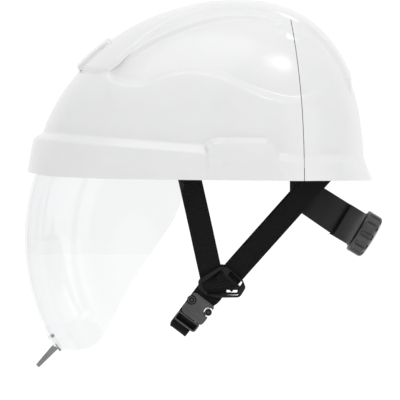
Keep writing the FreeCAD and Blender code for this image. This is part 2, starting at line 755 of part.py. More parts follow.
def webbing(top, foot):
    """A flat strap between two points, its width lying fore and aft of its line."""
    line = (foot - top).normalize()
    side = Vector(0, -line.z, line.y).normalize() * (STRAP_WIDTH / 2)
    normal = line.cross(side).normalize() * STRAP_WALL
    corners = [top + side, foot + side, foot - side, top - side]
    return Part.Face(Part.makePolygon(corners + corners[:1])).extrude(normal)


SLIDER = [(-28.6, -90.2), (-9.7, -76.6), (-0.4, -76.7), (10.6, -87.1), (13.2, -93.3), (7.6, -101.8),
          (-15.8, -102.1), (-25.5, -100)]
SLIDER_WINDOWS = [
    [(-23.9, -90.4), (-9.6, -80.2), (-7.6, -83.0), (-21.9, -93.2)],
    [(0.5, -80.9), (9.4, -89.6), (7.0, -92.1), (-1.9, -83.4)],
    [(-19.5, -95.6), (3.5, -95.6), (3.5, -98.7), (-19.5, -98.7)],
]


def slider(name, side):
    """The three-way plate that joins the two upper straps and the lower one."""
    body = new_body(name)
    outline = new_sketch(body, name + "_outline", "YZ_Plane")
    add_loop(outline, SLIDER)
    pad(body, outline, cell("slider_wall"), both_ways=True)
    for index, window in enumerate(SLIDER_WINDOWS):
        opening = new_sketch(body, f"{name}_window_{index}", "YZ_Plane")
        add_loop(opening, window)
        pocket(body, opening, "20.0", both_ways=True)
    body.Placement = Placement(Vector(side * dim("slider_side"), 0, 0), Rotation())
    return keep(body, name)


FACE_SIDE = dim("slider_side") + dim("slider_wall") / 2 + 0.1
front_strap = webbing(Vector(78.92, -39.6, 20), Vector(FACE_SIDE + 0.02, -16.2, -84.5))
rear_strap = webbing(Vector(78.5, 85.0, 11), Vector(FACE_SIDE + 0.1, 2.6, -81.4))
front_anchor = Part.makeBox(4.0, 20, 7.2, Vector(76.2, -49.6, 21.5))
rear_anchor = Part.makeBox(24, 20, 8.4, Vector(70, 74, 11.2))
frame_room = oval_block(FRAME_GAP + FRAME_WALL + 0.05, 0, 60)
inside_shell = dome(-dim("shell_wall") - 0.1, -20)
anchors = {"front": front_anchor.cut(frame_room), "rear": rear_anchor.common(inside_shell)}
for side, sign, place in (("left", 1, lambda s: s), ("right", -1, mirrored)):
    for end, strap in (("front", front_strap), ("rear", rear_strap)):
        anchor = place(anchors[end])
        shaped(f"chin_strap_{end}_{side}", place(strap).cut(anchor))
        shaped(f"strap_anchor_{end}_{side}", anchor)
    slider(f"three_way_slider_{side}", sign)

LENGTH, WIDTH, THICK = dim("buckle_length"), dim("buckle_width"), dim("buckle_thick")
socket = new_body("buckle_socket")
socket_plan = new_sketch(socket, "socket_plan", "YZ_Plane")
add_box(socket_plan, (0, 0), cell("buckle_width"), cell("buckle_length"))
pad(socket, socket_plan, cell("buckle_thick"), both_ways=True)
cavity_plan = new_sketch(socket, "cavity_plan", "XY_Plane")
add_box(cavity_plan, (0, 0), "4.8", f"{cell('buckle_width')} - 3.6")
cavity_plan.AttachmentOffset = Placement(Vector(0, 0, -LENGTH / 2), Rotation())
pocket(socket, cavity_plan, f"{cell('buckle_length')} - 4.0", reverse=True)
for hand in (-1, 1):
    press = new_sketch(socket, f"press_window_{hand + 1}", "YZ_Plane")
    add_box(press, (hand * (WIDTH / 2), 1.5), "6.0", "8.5")
    pocket(socket, press, "30.0", both_ways=True)
socket.Placement = BUCKLE
keep(socket, "buckle_socket")

plug = new_body("buckle_plug")
bar_plan = new_sketch(plug, "bar_plan", "YZ_Plane")
add_box(bar_plan, (0, -LENGTH / 2 - 4.1), cell("buckle_width"), "7.4")
pad(plug, bar_plan, f"{cell('buckle_thick')} - 1.0", both_ways=True)
tongue_plan = new_sketch(plug, "tongue_plan", "YZ_Plane")
add_box(tongue_plan, (0, -3.0), "4.4", "17.0")
pad(plug, tongue_plan, "3.6", both_ways=True)
for hand in (-1, 1):
    prong_plan = new_sketch(plug, f"prong_plan_{hand + 1}", "YZ_Plane")
    prong = [(8.2, -12), (8.2, 3.5), (6.6, 6.2), (5.6, 6.2), (5.4, -12)]
    add_loop(prong_plan, [(hand * across, along) for across, along in prong])
    pad(plug, prong_plan, "4.0", both_ways=True)
slot_plan = new_sketch(plug, "strap_slot", "YZ_Plane")
add_box(slot_plan, (0, -LENGTH / 2 - 4.4), f"{cell('buckle_width')} - 5.0", "2.6")
pocket(plug, slot_plan, "30.0", both_ways=True)
plug.Placement = BUCKLE
keep(plug, "buckle_plug")

LOOP = [(-25, -96), (-5.6, -96), (-9.5, -110.5), (-14, -109.5), (-25, -96)]
loop_plate = Part.Face(Part.makePolygon([Vector(FACE_SIDE, back, up) for back, up in LOOP]))
loop_plate = loop_plate.extrude(Vector(STRAP_WALL, 0, 0))
buckle_room = Part.makeBox(30, WIDTH + 1, LENGTH + 0.3, Vector(-15, -WIDTH / 2 - 0.5, -LENGTH / 2 - 0.15))
buckle_room.Placement = BUCKLE
shaped("buckle_loop", loop_plate.cut(buckle_room).cut(front_strap).cut(rear_strap))


def chin_webbing():
    """The strap under the chin: from the plug, across, and up past the right-hand slider."""
    side, depth, bend = FACE_SIDE + 0.5 + STRAP_WALL / 2, 25.2, 5.0
    foot, tail = LENGTH / 2 + 7.95, -20.0

    def place(across, along):
        return Vector(across, BUCKLE_CENTRE.y, BUCKLE_CENTRE.z) + DOWN_STRAP * along

    def line(more):
        edge, low = side + more, depth + more
        radius = bend + more
        diagonal = radius * (1 - math.sqrt(0.5))
        near = [place(edge, low - radius), place(edge - diagonal, low - diagonal), place(edge - radius, low)]
        far = [place(radius - edge, low), place(diagonal - edge, low - diagonal), place(-edge, low - radius)]
        return [
            Part.makeLine(place(edge, foot), near[0]),
            Part.Arc(*near).toShape(),
            Part.makeLine(near[2], far[0]),
            Part.Arc(*far).toShape(),
            Part.makeLine(far[2], place(-edge, tail)),
        ]

    width = dim("chin_web_width")
    band = strip_face(line(STRAP_WALL / 2), line(-STRAP_WALL / 2)).extrude(ACROSS_STRAP * width)
    return band.translate(ACROSS_STRAP * (-width / 2 - 0.8))


shaped("chin_webbing", chin_webbing())
# ---------------------------------------------------------------- shell halves, ridge and badge

BOSS = [(-22, -12), (-22, 29), (-15, 34.3), (30.8, 35.2), (42.2, 19.4), (42.2, -12)]
BOTTOM = [(-200, 9), (-178, 7), (-158, 3.2), (-110, 1), (-30, 0), (60, -0.8), (140, -0.4)]
SLOT_BACK = 10.0
SLOT_SIDE = dim("side_reach") + 2.2


def shell_blank():
    """Both shell halves in one: outer skin less inner skin, open below, with a pocket each side."""
    wall = dim("shell_wall")
    bosses = prism(BOSS, 150).common(dome(dim("boss_proud")))
    outer = dome(0).fuse([rim(dim("band_proud"), 0), bosses])
    solid_boss = prism([(back, up + 1) for back, up in BOSS], 150)
    inner = dome(-wall).fuse(rim(dim("band_proud") - wall, wall).cut(solid_boss))
    shell = outer.cut(inner).cut(prism(BOTTOM + [(140, -40), (-200, -40)], 150))
    width, gap, depth = dim("slot_width"), dim("slot_gap"), dim("slot_depth")
    corner = Vector(SLOT_SIDE, SLOT_BACK - width / 2, depth - 60)
    slot = Part.makeBox(gap, width, 60, corner)
    return shell.cut(slot).cut(mirrored(slot))


def seam_prism(shift):
    """Everything ahead of the seam's arc, moved back by shift."""
    arc = Part.Arc(Vector(0, 63.7 + shift, -20), Vector(0, 61.0 + shift, 65), Vector(0, 48.0 + shift, 165))
    corners = [Vector(0, 48.0 + shift, 165), Vector(0, -250, 165), Vector(0, -250, -20)]
    far = Part.makePolygon(corners + [Vector(0, 63.7 + shift, -20)])
    face = Part.Face(Part.Wire([arc.toShape()] + far.Edges))
    return face.extrude(Vector(300, 0, 0)).translate(Vector(-150, 0, 0))


blank = shell_blank().cut(shell_bores)
shaped("shell_front", blank.common(seam_prism(0)))
shaped("shell_rear", blank.cut(seam_prism(dim("seam_gap"))))

strip_zone = seam_prism(9).cut(seam_prism(-9))
strip_zone = strip_zone.cut(prism([(-200, -20), (200, -20), (200, 34), (-200, 34)], 150))
strip_outer = dome(-dim("shell_wall") - 0.05)
shaped("seam_strip", strip_outer.cut(dome(-dim("shell_wall") - 2.2)).common(strip_zone))

RIDGE_PLAN = [(22, -132), (54, -117), (62, -105), (61, -92), (50, -66), (40, -46), (37, -20), (36, 60),
              (33, 105.5)]
ridge_zone = plan_prism(RIDGE_PLAN, 84, 200)
shaped("crown_ridge", dome(dim("ridge_proud")).cut(dome(0.05)).common(ridge_zone))
BADGE_PLAN = [(21, -131), (26, -126), (27, -108), (22, -103)]
badge_zone = plan_prism(BADGE_PLAN, 84, 200)
badge = dome(dim("badge_proud")).cut(dome(dim("ridge_proud") + 0.05)).common(badge_zone)
shaped("front_badge_plate", badge)


# ---------------------------------------------------------------- check and write

doc.recompute()
for obj in doc.Objects:
    if {"Invalid", "Error"} & set(obj.State):
        raise RuntimeError(f"{obj.Name} did not build")
os.makedirs("parts", exist_ok=True)
for node in nodes:
    if node.Shape.isNull() or not node.Shape.isValid():
        raise RuntimeError(f"{node.Label} has no valid shape")
    node.Shape.exportStep(f"parts/{node.Label}.step")
print(len(nodes), "sub-parts written")
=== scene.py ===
import math

import bmesh
import bpy
import numpy as np
from mathutils import Matrix, Vector


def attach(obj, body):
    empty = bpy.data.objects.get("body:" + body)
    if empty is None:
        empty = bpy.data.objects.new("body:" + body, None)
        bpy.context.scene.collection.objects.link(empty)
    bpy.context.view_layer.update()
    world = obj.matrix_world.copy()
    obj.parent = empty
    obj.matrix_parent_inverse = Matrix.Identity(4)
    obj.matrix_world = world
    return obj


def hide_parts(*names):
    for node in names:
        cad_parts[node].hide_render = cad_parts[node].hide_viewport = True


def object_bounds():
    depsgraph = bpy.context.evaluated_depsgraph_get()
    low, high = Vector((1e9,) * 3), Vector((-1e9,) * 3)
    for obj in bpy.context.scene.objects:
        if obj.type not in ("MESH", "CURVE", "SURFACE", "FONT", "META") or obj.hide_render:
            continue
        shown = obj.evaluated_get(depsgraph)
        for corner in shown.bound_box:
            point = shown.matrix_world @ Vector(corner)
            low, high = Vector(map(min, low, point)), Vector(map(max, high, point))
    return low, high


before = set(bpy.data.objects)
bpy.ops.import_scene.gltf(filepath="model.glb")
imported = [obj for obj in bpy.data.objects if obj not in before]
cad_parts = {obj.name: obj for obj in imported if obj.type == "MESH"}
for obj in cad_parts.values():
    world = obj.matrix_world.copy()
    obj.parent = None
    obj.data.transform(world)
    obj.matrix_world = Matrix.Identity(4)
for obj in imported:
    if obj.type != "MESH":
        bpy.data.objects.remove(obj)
cad_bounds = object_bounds()
MM = 0.001

# ---------------------------------------------------------------- the hat's own dimensions, in millimetres

TOP = 156.2
# the dome's reach to the front, the rear and a side, each with the two powers of its curve up to the top
DOME_REACHES = [(176.2, 1.954, 1.918), (113.5, 2.478, 2.42), (107.0, 2.25, 2.2)]
BLUNT_AHEAD, BLUNT_BEHIND = 2.35, 2.25
CROWN_BACK = 4.4
WALL = 2.6
RIDGE_PROUD = 2.6
BADGE_PROUD = 5.4
AXIS_BACK, AXIS_UP = 7.0, -52.0
SHIELD_RADIUS, SHIELD_HALF = 187.5, 92.0


def smooth(value):
    """An S-shaped step from 0 to 1."""
    value = np.clip(value, 0, 1)
    return value * value * (3 - 2 * value)


def ramp(value, soft=0.12):
    """A straight slope from 0 to 1 with a little rounding at each end."""
    def area(at):
        """The area under a straight ramp up to a place."""
        return np.where(at < 0, 0, np.where(at > 1, at - 0.5, at * at / 2))
    return (area(value + soft) - area(value - soft)) / (2 * soft)


def through(knots, where):
    """A smooth curve through (place, height) knots, read at each place."""
    xs, ys = (np.array(column, float) for column in zip(*knots))
    slopes = np.gradient(ys, xs)
    cell = np.clip(np.searchsorted(xs, where) - 1, 0, len(xs) - 2)
    width = xs[cell + 1] - xs[cell]
    t = np.clip((where - xs[cell]) / width, 0, 1)
    near = (2 * t**3 - 3 * t**2 + 1) * ys[cell] + (t**3 - 2 * t**2 + t) * width * slopes[cell]
    return near + (3 * t**2 - 2 * t**3) * ys[cell + 1] + (t**3 - t**2) * width * slopes[cell + 1]


def reaches(up, grow=0.0):
    """The dome's reach from its axis at a height: to the front, the rear and a side."""
    share = np.clip(np.clip(up, 0, None) / (TOP + grow), 0, 1)
    return [(reach + grow) * (1 - share**rise) ** (1 / fall) for reach, rise, fall in DOME_REACHES]


def dome_points(turn, up, grow=0.0):
    """Points on the dome at each turn from the front and each height."""
    ahead, across = np.cos(turn), np.sin(turn)
    tiny = 1e-6
    front, rear, side = (np.maximum(reach, tiny) for reach in reaches(up, grow))
    toward = np.where(ahead > 0, front, rear)
    blunt = np.where(ahead > 0, BLUNT_AHEAD, BLUNT_BEHIND)
    far = (np.abs(ahead / toward) ** blunt + np.abs(across / side) ** blunt) ** (-1 / blunt)
    return np.stack([far * across, CROWN_BACK - far * ahead, up + 0 * far], -1)


def grid_normals(points):
    """Outward normals of a grid of points, rows going up and columns going round."""
    around = np.gradient(points, axis=1)
    rising = np.gradient(points, axis=0)
    normal = np.cross(around, rising)
    length = np.linalg.norm(normal, axis=-1, keepdims=True)
    return normal / np.maximum(length, 1e-9)


# ---------------------------------------------------------------- making meshes


def linked(name, data):
    """A new object, linked to the scene."""
    thing = bpy.data.objects.new(name, data)
    bpy.context.scene.collection.objects.link(thing)
    return thing


def quads(rows, columns, closed=False):
    """Faces between the neighbouring points of a grid, which is joined round when it is closed."""
    faces = []
    for r in range(rows - 1):
        for c in range(columns if closed else columns - 1):
            near, far = r * columns, (r + 1) * columns
            beside = (c + 1) % columns
            faces.append((near + c, near + beside, far + beside, far + c))
    return faces


def new_piece(name, verts, faces, body, material, *nodes, smooth_angle=40):
    """A mesh piece in millimetres, placed on its body and standing for its CAD nodes."""
    mesh = bpy.data.meshes.new(name)
    mesh.from_pydata([tuple(v) for v in np.asarray(verts, float) * MM], [], [tuple(f) for f in faces])
    mesh.validate()
    mesh.update()
    piece = linked(name, mesh)
    finish_mesh(piece, smooth_angle)
    return settle(piece, body, material, *nodes)


def finish_mesh(piece, smooth_angle):
    """Join doubled points, turn faces outward and shade smoothly except at sharp edges."""
    work = bmesh.new()
    work.from_mesh(piece.data)
    bmesh.ops.remove_doubles(work, verts=work.verts, dist=2e-6)
    bmesh.ops.recalc_face_normals(work, faces=work.faces)
    limit = math.radians(smooth_angle)
    for edge in work.edges:
        edge.smooth = len(edge.link_faces) != 2 or edge.calc_face_angle(0) < limit
    for face in work.faces:
        face.smooth = True
    work.to_mesh(piece.data)
    work.free()


def settle(piece, body, material, *nodes):
    """Give a piece its material and that material's slot, its body, and the CAD nodes it stands for."""
    piece.data.materials.clear()
    piece.data.materials.append(material)
    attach(piece, body)
    if nodes:
        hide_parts(*nodes)
    return piece


def evaluated_mesh(thing):
    """The mesh that an object's curve or modifiers come to."""
    graph = bpy.context.evaluated_depsgraph_get()
    return bpy.data.meshes.new_from_object(thing.evaluated_get(graph))


def walled(outer, inner, stride=4):
    """Verts and faces of a wall: a fine outer grid, a coarse inner one and rims between them."""
    rows, columns = outer.shape[:2]
    keep_r = sorted(set(range(0, rows, stride)) | {rows - 1})
    keep_c = sorted(set(range(0, columns, stride)) | {columns - 1})
    verts = list(outer.reshape(-1, 3)) + list(inner[np.ix_(keep_r, keep_c)].reshape(-1, 3))
    base = rows * columns

    def out(r, c):
        """The number of an outer point."""
        return r * columns + c

    def ins(r, c):
        """The number of an inner point."""
        return base + r * len(keep_c) + c

    faces = quads(rows, columns)
    faces += [(base + a, base + d, base + c, base + b) for a, b, c, d in quads(len(keep_r), len(keep_c))]
    for r, row in ((0, 0), (len(keep_r) - 1, rows - 1)):
        for c in range(len(keep_c) - 1):
            fine = [out(row, k) for k in range(keep_c[c], keep_c[c + 1] + 1)]
            faces.append(fine + [ins(r, c + 1), ins(r, c)])
    for c, column in ((0, 0), (len(keep_c) - 1, columns - 1)):
        for r in range(len(keep_r) - 1):
            fine = [out(k, column) for k in range(keep_r[r], keep_r[r + 1] + 1)]
            faces.append(fine + [ins(r + 1, c), ins(r, c)])
    return verts, faces


# ---------------------------------------------------------------- materials

NOISE_MIDDLE = (0.3, 0.7)


def nodes_of(name):
    """A new node material with its shader."""
    material = bpy.data.materials.new(name)
    material.use_nodes = True
    return material, material.node_tree, material.node_tree.nodes["Principled BSDF"]


def add_node(tree, kind, **inputs):
    """A new shader node, its inputs either fed by another node's output or set to a value."""
    node = tree.nodes.new("ShaderNode" + kind)
    for name, given in inputs.items():
        socket = node.inputs[name.replace("_", " ")]
        if isinstance(given, bpy.types.NodeSocket):
            tree.links.new(given, socket)
        else:
            socket.default_value = given
    return node


def noise(tree, scale, detail=4.0):
    """A noise texture in the piece's own coordinates."""
    place = add_node(tree, "TexCoord").outputs["Object"]
    return add_node(tree, "TexNoise", Vector=place, Scale=scale, Detail=detail, Roughness=0.55).outputs["Fac"]


def ranged(tree, value, source, target):
    """A value moved evenly from one range to another, held at both ends."""
    (source_low, source_high), (low, high) = source, target
    limits = {"From_Min": source_low, "From_Max": source_high, "To_Min": low, "To_Max": high}
    return add_node(tree, "MapRange", Value=value, **limits).outputs["Result"]


def spread(tree, value, low, high):
    """A noise's middle stretch moved between low and high."""
    return ranged(tree, value, NOISE_MIDDLE, (low, high))


def shades(tree, value, dark, light):
    """A colour between two shades."""
    blend = add_node(tree, "ValToRGB", Fac=value)
    for element, position, shade in zip(blend.color_ramp.elements, NOISE_MIDDLE, (dark, light)):
        element.position = position
        element.color = (*shade, 1)
    return blend.outputs["Color"]


def calculated(tree, operation, first, second, clamped=False):
    """Two values put together by a maths node."""
    node = tree.nodes.new("ShaderNodeMath")
    node.operation, node.use_clamp = operation, clamped
    for given, socket in zip((first, second), node.inputs):
        tree.links.new(given, socket)
    return node.outputs[0]


def bumped(tree, shader, heights):
    """Bumps from (height, distance in millimetres, strength), one over the other."""
    below = {}
    for height, distance, strength in heights:
        bump = add_node(tree, "Bump", Height=height, Distance=distance * MM, Strength=strength, **below)
        below = {"Normal": bump.outputs["Normal"]}
    tree.links.new(below["Normal"], shader.inputs["Normal"])


def finished(tree, shader, colour, roughness, **levels):
    """Give a shader its colour, its roughness and its other levels."""
    tree.links.new(colour, shader.inputs["Base Color"])
    tree.links.new(roughness, shader.inputs["Roughness"])
    for name, level in levels.items():
        shader.inputs[name.replace("_", " ")].default_value = level


def plastic(name, dark, light, rough, grain, grain_depth, coat=0.0, shine=0.5):
    """Moulded plastic: two close shades, uneven gloss and a fine grain."""
    material, tree, shader = nodes_of(name)
    colour = shades(tree, noise(tree, 22.0), dark, light)
    roughness = spread(tree, noise(tree, 90.0), *rough)
    finished(tree, shader, colour, roughness, Specular_IOR_Level=shine, Coat_Weight=coat, Coat_Roughness=0.08)
    bumped(tree, shader, [(noise(tree, grain, 1.0), grain_depth, 0.4), (noise(tree, 14.0, 1.0), 0.10, 0.10)])
    return material


def wave(tree, vector, scale, direction):
    """Even ribs that follow one another in one direction of the strap."""
    texture = add_node(tree, "TexWave", Vector=vector, Scale=scale, Distortion=0.0)
    texture.wave_type, texture.bands_direction = "BANDS", direction
    return texture.outputs["Fac"]


def woven(name, dark, light, along, across):
    """Webbing: ribs along the strap crossed by picks, on coordinates laid out in millimetres."""
    material, tree, shader = nodes_of(name)
    layout = add_node(tree, "UVMap")
    layout.uv_map = "strap"
    ribs = wave(tree, layout.outputs["UV"], along, "Y")
    picks = wave(tree, layout.outputs["UV"], across, "X")
    weave = calculated(tree, "MULTIPLY", ribs, picks)
    fuzz = spread(tree, noise(tree, 900.0, 3.0), -0.15, 0.25)
    mixed = calculated(tree, "ADD", weave, fuzz, clamped=True)
    colour = shades(tree, mixed, dark, light)
    roughness = spread(tree, fuzz, 0.75, 0.95)
    finished(tree, shader, colour, roughness, Specular_IOR_Level=0.12, Sheen_Weight=0.02)
    bumped(tree, shader, [(weave, 0.25, 0.8), (noise(tree, 1500.0, 2.0), 0.08, 0.5)])
    return material


def padded_cloth(name, dark, light):
    """Brushed cloth over foam, with a fine knit and soft fuzz."""
    material, tree, shader = nodes_of(name)
    place = add_node(tree, "TexCoord").outputs["Object"]
    knit = add_node(tree, "TexVoronoi", Vector=place, Scale=900.0)
    colour = shades(tree, noise(tree, 260.0), dark, light)
    roughness = spread(tree, noise(tree, 400.0), 0.8, 0.98)
    finished(tree, shader, colour, roughness, Specular_IOR_Level=0.15, Sheen_Weight=0.06)
    bumped(tree, shader, [(knit.outputs["Distance"], 0.25, 0.7), (noise(tree, 60.0), 0.3, 0.3)])
    return material


def metal(name, dark, light):
    """Zinc-plated steel with faint brushing."""
    material, tree, shader = nodes_of(name)
    colour = shades(tree, noise(tree, 500.0), dark, light)
    roughness = spread(tree, noise(tree, 1200.0), 0.25, 0.42)
    finished(tree, shader, colour, roughness, Metallic=1.0)
    bumped(tree, shader, [(noise(tree, 1800.0), 0.02, 0.4)])
    return material


def clear_plastic(name, tint, shine, blend, shares):
    """Clear moulded polycarbonate: mostly see-through, and brighter where it is seen edge-on."""
    material, tree, shader = nodes_of(name)
    tree.nodes.remove(shader)
    veil = add_node(tree, "BsdfTransparent", Color=(*tint, 1))
    roughness = spread(tree, noise(tree, 35.0, 3.0), 0.03, 0.07)
    gloss = add_node(tree, "BsdfGlossy", Color=(*shine, 1), Roughness=roughness)
    bumped(tree, gloss, [(noise(tree, 9.0, 1.0), 0.15, 0.15)])
    rim = add_node(tree, "LayerWeight", Blend=blend)
    mix = add_node(tree, "MixShader", Fac=ranged(tree, rim.outputs["Facing"], (0, 1), shares))
    for given, socket in zip((veil, gloss), mix.inputs[1:]):
        tree.links.new(given.outputs["BSDF"], socket)
    tree.links.new(mix.outputs["Shader"], tree.nodes["Material Output"].inputs["Surface"])
    return material


WHITE = plastic("white_shell", (0.690, 0.692, 0.696), (0.715, 0.716, 0.718), (0.21, 0.25), 60.0, 0.03)
SMOKE = plastic("smoked_tab", (0.16, 0.16, 0.162), (0.30, 0.30, 0.302), (0.12, 0.3), 1100.0, 0.05, coat=0.4)
INNER_GREY = plastic("inner_grey", (0.45, 0.45, 0.46), (0.52, 0.52, 0.52), (0.45, 0.6), 900.0, 0.05)
DARK = plastic("dark_plastic", (0.042, 0.042, 0.043), (0.056, 0.056, 0.058), (0.22, 0.34), 1500.0, 0.04)
BLACK = plastic("black_plastic", (0.006, 0.006, 0.0065), (0.011, 0.011, 0.0115), (0.42, 0.6), 1300.0, 0.07,
                shine=0.2)
WEBBING = woven("black_webbing", (0.0035, 0.0035, 0.0037), (0.013, 0.013, 0.0135), 0.5, 0.143)
PADDING = padded_cloth("black_padding", (0.012, 0.012, 0.013), (0.03, 0.03, 0.031))
STEEL = metal("zinc_steel", (0.42, 0.42, 0.43), (0.6, 0.6, 0.6))
CLEAR = clear_plastic("clear_shield", (0.976, 0.978, 0.979), (0.78, 0.785, 0.79), 0.14, (0.015, 0.40))

# ---------------------------------------------------------------- the shell's relief

LEDGE = [(-171, 37), (-114, 31.7), (-26, 24.6), (60, 16), (140, 17.5)]
BOTTOM = [(-200, 9), (-178, 7), (-158, 3.2), (-110, 1), (-30, 0), (60, -0.8), (140, -0.4)]
SWOOSH = [(-112, 90.5), (-105.6, 89.0), (-90, 84.8), (-76.6, 85.0), (-59, 92.0), (-36.1, 96.4), (-11.4, 92.4),
          (10.6, 82.5), (33.4, 73.5), (55.4, 69.5), (66.9, 71.8), (82.7, 78.5), (110, 90)]
HOLLOW_TOP = [(-112, 86), (-107.4, 91.4), (-95, 103.4), (-79.2, 115.5), (-44, 133.2), (-18, 141.5),
              (8.8, 144.6), (45.8, 138.5), (62, 130), (90, 103)]
HOLLOW_DEPTH, LEDGE_PROUD, LEDGE_SLOPE = 3.9, 1.2, 7.4
LEAST_WALL = 1.8
BAND_PROUD, BOSS_OVER_BAND = 6.0, 1.3
FLARE_PROUD, FLARE_TOP = 6.4, 15.5
BOSS_FRONT, BOSS_REAR, BOSS_TOP, BOSS_BACK_TOP = -22.0, 42.2, 34.4, 35.2
MARK_PROUD, MARK_UP, MARK_BAR_BACK, MARK_RING_BACK, MARK_RING_RADIUS = 0.45, 14.8, -13.5, -3.5, 2.2
SEAM_FOOT, SEAM_LEAN, SEAM_TOP = 63.7, 11.3, 141.7
SEAM_GAP = 0.55
SHELL_ROWS, FRONT_COLUMNS, REAR_COLUMNS = 172, 401, 221


def seam_at(up):
    """How far back the seam between the shells lies at a height."""
    return SEAM_FOOT - SEAM_LEAN * (np.clip(up, 0, None) / SEAM_TOP) ** 2.2


def band_relief(back, up):
    """The proud band round the brim, with a sloped shoulder, flaring out behind."""
    above = up - np.interp(back, *zip(*LEDGE))
    shoulder = BAND_PROUD * ramp((5.6 - above) / 7.2)
    draft = 0.8 * smooth((22 - up) / 25)
    step = 1.4 * smooth((3.0 - above) / 4.0)
    flare = FLARE_PROUD * np.clip((FLARE_TOP - up) / FLARE_TOP, 0, 1.1) ** 1.2
    behind = smooth((back - 84) / 30)
    return (shoulder + draft) * (1 - behind) + (step + flare) * behind


def at_side(across):
    """1 on the hat's sides and 0 along its middle."""
    return smooth((np.abs(across) - 60) / 10)


def boss_relief(across, back, up):
    """The raised boss on each side, over the accessory slot."""
    top_edge = BOSS_TOP + (BOSS_BACK_TOP - BOSS_TOP) * (back + 15) / 46 - up
    behind_front = back - BOSS_FRONT
    front_edge = np.minimum(behind_front, behind_front * 0.60 + (29 - up) * 0.80)
    rear_edge = (BOSS_REAR - back) * 0.81 + (19.4 - up) * 0.585
    inwards = np.minimum(np.minimum(top_edge, front_edge), rear_edge)
    lift = (BAND_PROUD + BOSS_OVER_BAND) * ramp((inwards + 1.4) / 4.4) * at_side(across)
    return np.maximum(lift - band_relief(back, up), 0)


def mark_relief(across, back, up):
    """A small plain bar and ring, raised low on each boss."""
    bar = np.maximum(np.abs(back - MARK_BAR_BACK) / 5.5, np.abs(up - MARK_UP) / 1.3)
    ring = np.abs(np.hypot(back - MARK_RING_BACK, up - MARK_UP) - MARK_RING_RADIUS) / 0.8
    return MARK_PROUD * at_side(across) * (smooth((1.25 - bar) / 0.5) + smooth((1.25 - ring) / 0.5))


def hollow_relief(across, back, up):
    """The leaf-shaped hollow between the crown ridge and the long swept ledge."""
    lower = through(SWOOSH, back)
    upper = through(HOLLOW_TOP, back)
    over_ledge = ramp((up - lower + 3.4) / LEDGE_SLOPE)
    under_wall = ramp((upper - up + 1.0) / 3.2, 0.25)
    fade = (1 - smooth((back - 30) / 62)) * smooth((back + 110) / 7)
    near_top = smooth((up - upper + 13) / 8)
    end_step = 1 - near_top * smooth((back - 39) / 12.0)
    depth = HOLLOW_DEPTH * over_ledge * under_wall * fade * end_step
    ledge = LEDGE_PROUD * ramp((lower + 4.0 - up) / LEDGE_SLOPE) * (1 - smooth((lower - 3 - up) / 34)) * fade
    beside_ridge = smooth((np.abs(across) - 14) / 10)
    return (ledge - depth) * beside_ridge


def bottom_at(points):
    """The height of the shell's lower edge below each point."""
    return np.interp(points[..., 1], *zip(*BOTTOM))


def shell_surface(turns, rises, outer=True):
    """Points of the shell on a grid of turns and rises from 0, the brim, to 1, the crown."""
    share = np.sin(rises * math.pi / 2)
    foot = bottom_at(dome_points(turns, np.zeros_like(turns), BAND_PROUD))
    up = foot + (TOP - foot) * share
    base = dome_points(turns, up)
    normal = grid_normals(base)
    normal[-1] = (0, 0, 1)
    across, back, height = base[..., 0], base[..., 1], base[..., 2]
    band = band_relief(back, height)
    relief = boss_relief(across, back, height) + hollow_relief(across, back, height)
    relief = relief + mark_relief(across, back, height)
    lift = band + (relief if outer else np.minimum(-WALL, relief - LEAST_WALL))
    moved = base + normal * lift[..., None]
    moved[0, :, 2] = foot[0]
    return moved


def seam_trued(points, shift, columns):
    """The shell's points with each end column brought back onto the seam."""
    near = smooth(1 - np.arange(columns) / (columns * 0.14))
    near = near + near[::-1]
    low = points[..., 2] < SEAM_TOP + 4
    target = seam_at(points[..., 2]) + shift
    ends = np.where(np.arange(columns) < columns / 2, 0, columns - 1)
    error = (target - points[..., 1])[:, ends]
    points[..., 1] += error * near[None, :] * np.where(low[:, ends], 1, 0)
    return points


def seam_turn(rises, shift):
    """The turn from the front at which each row of the shell meets the seam."""
    up = TOP * np.sin(rises * math.pi / 2)
    low, high = np.full_like(up, math.pi / 2), np.full_like(up, math.pi)
    for _ in range(40):
        middle = (low + high) / 2
        ahead = dome_points(middle, up)[..., 1] < seam_at(up) + shift
        low, high = np.where(ahead, middle, low), np.where(ahead, high, middle)
    return (low + high) / 2


def shell_half(end, turns, rises, shift):
    """One of the two shells: its outer and inner skins, and the rims between them."""
    columns = turns.shape[1]
    grid = np.repeat(rises[:, None], columns, 1)
    skins = [seam_trued(shell_surface(turns, grid, outer), shift, columns) for outer in (True, False)]
    verts, faces = walled(*skins)
    new_piece(f"shell_{end}_skin", verts, faces, "hat", WHITE, f"shell_{end}")


def make_shells():
    """The two outer shells, their edges cut along the seam's curve with a gap between them."""
    rises = np.linspace(0, 1, SHELL_ROWS) ** 1.08
    edge = seam_turn(rises, 0.0)[:, None]
    turns = np.linspace(-1, 1, FRONT_COLUMNS)[None, :] * edge
    shell_half("front", turns, rises, 0.0)
    rear_rows = np.count_nonzero(edge[:, 0] < math.pi - 0.02)
    edge = seam_turn(rises, SEAM_GAP)[:rear_rows, None]
    turns = edge + np.linspace(0, 1, REAR_COLUMNS)[None, :] * 2 * (math.pi - edge)
    shell_half("rear", turns, rises[:rear_rows], SEAM_GAP)


make_shells()

# ---------------------------------------------------------------- crown ridge and front badge

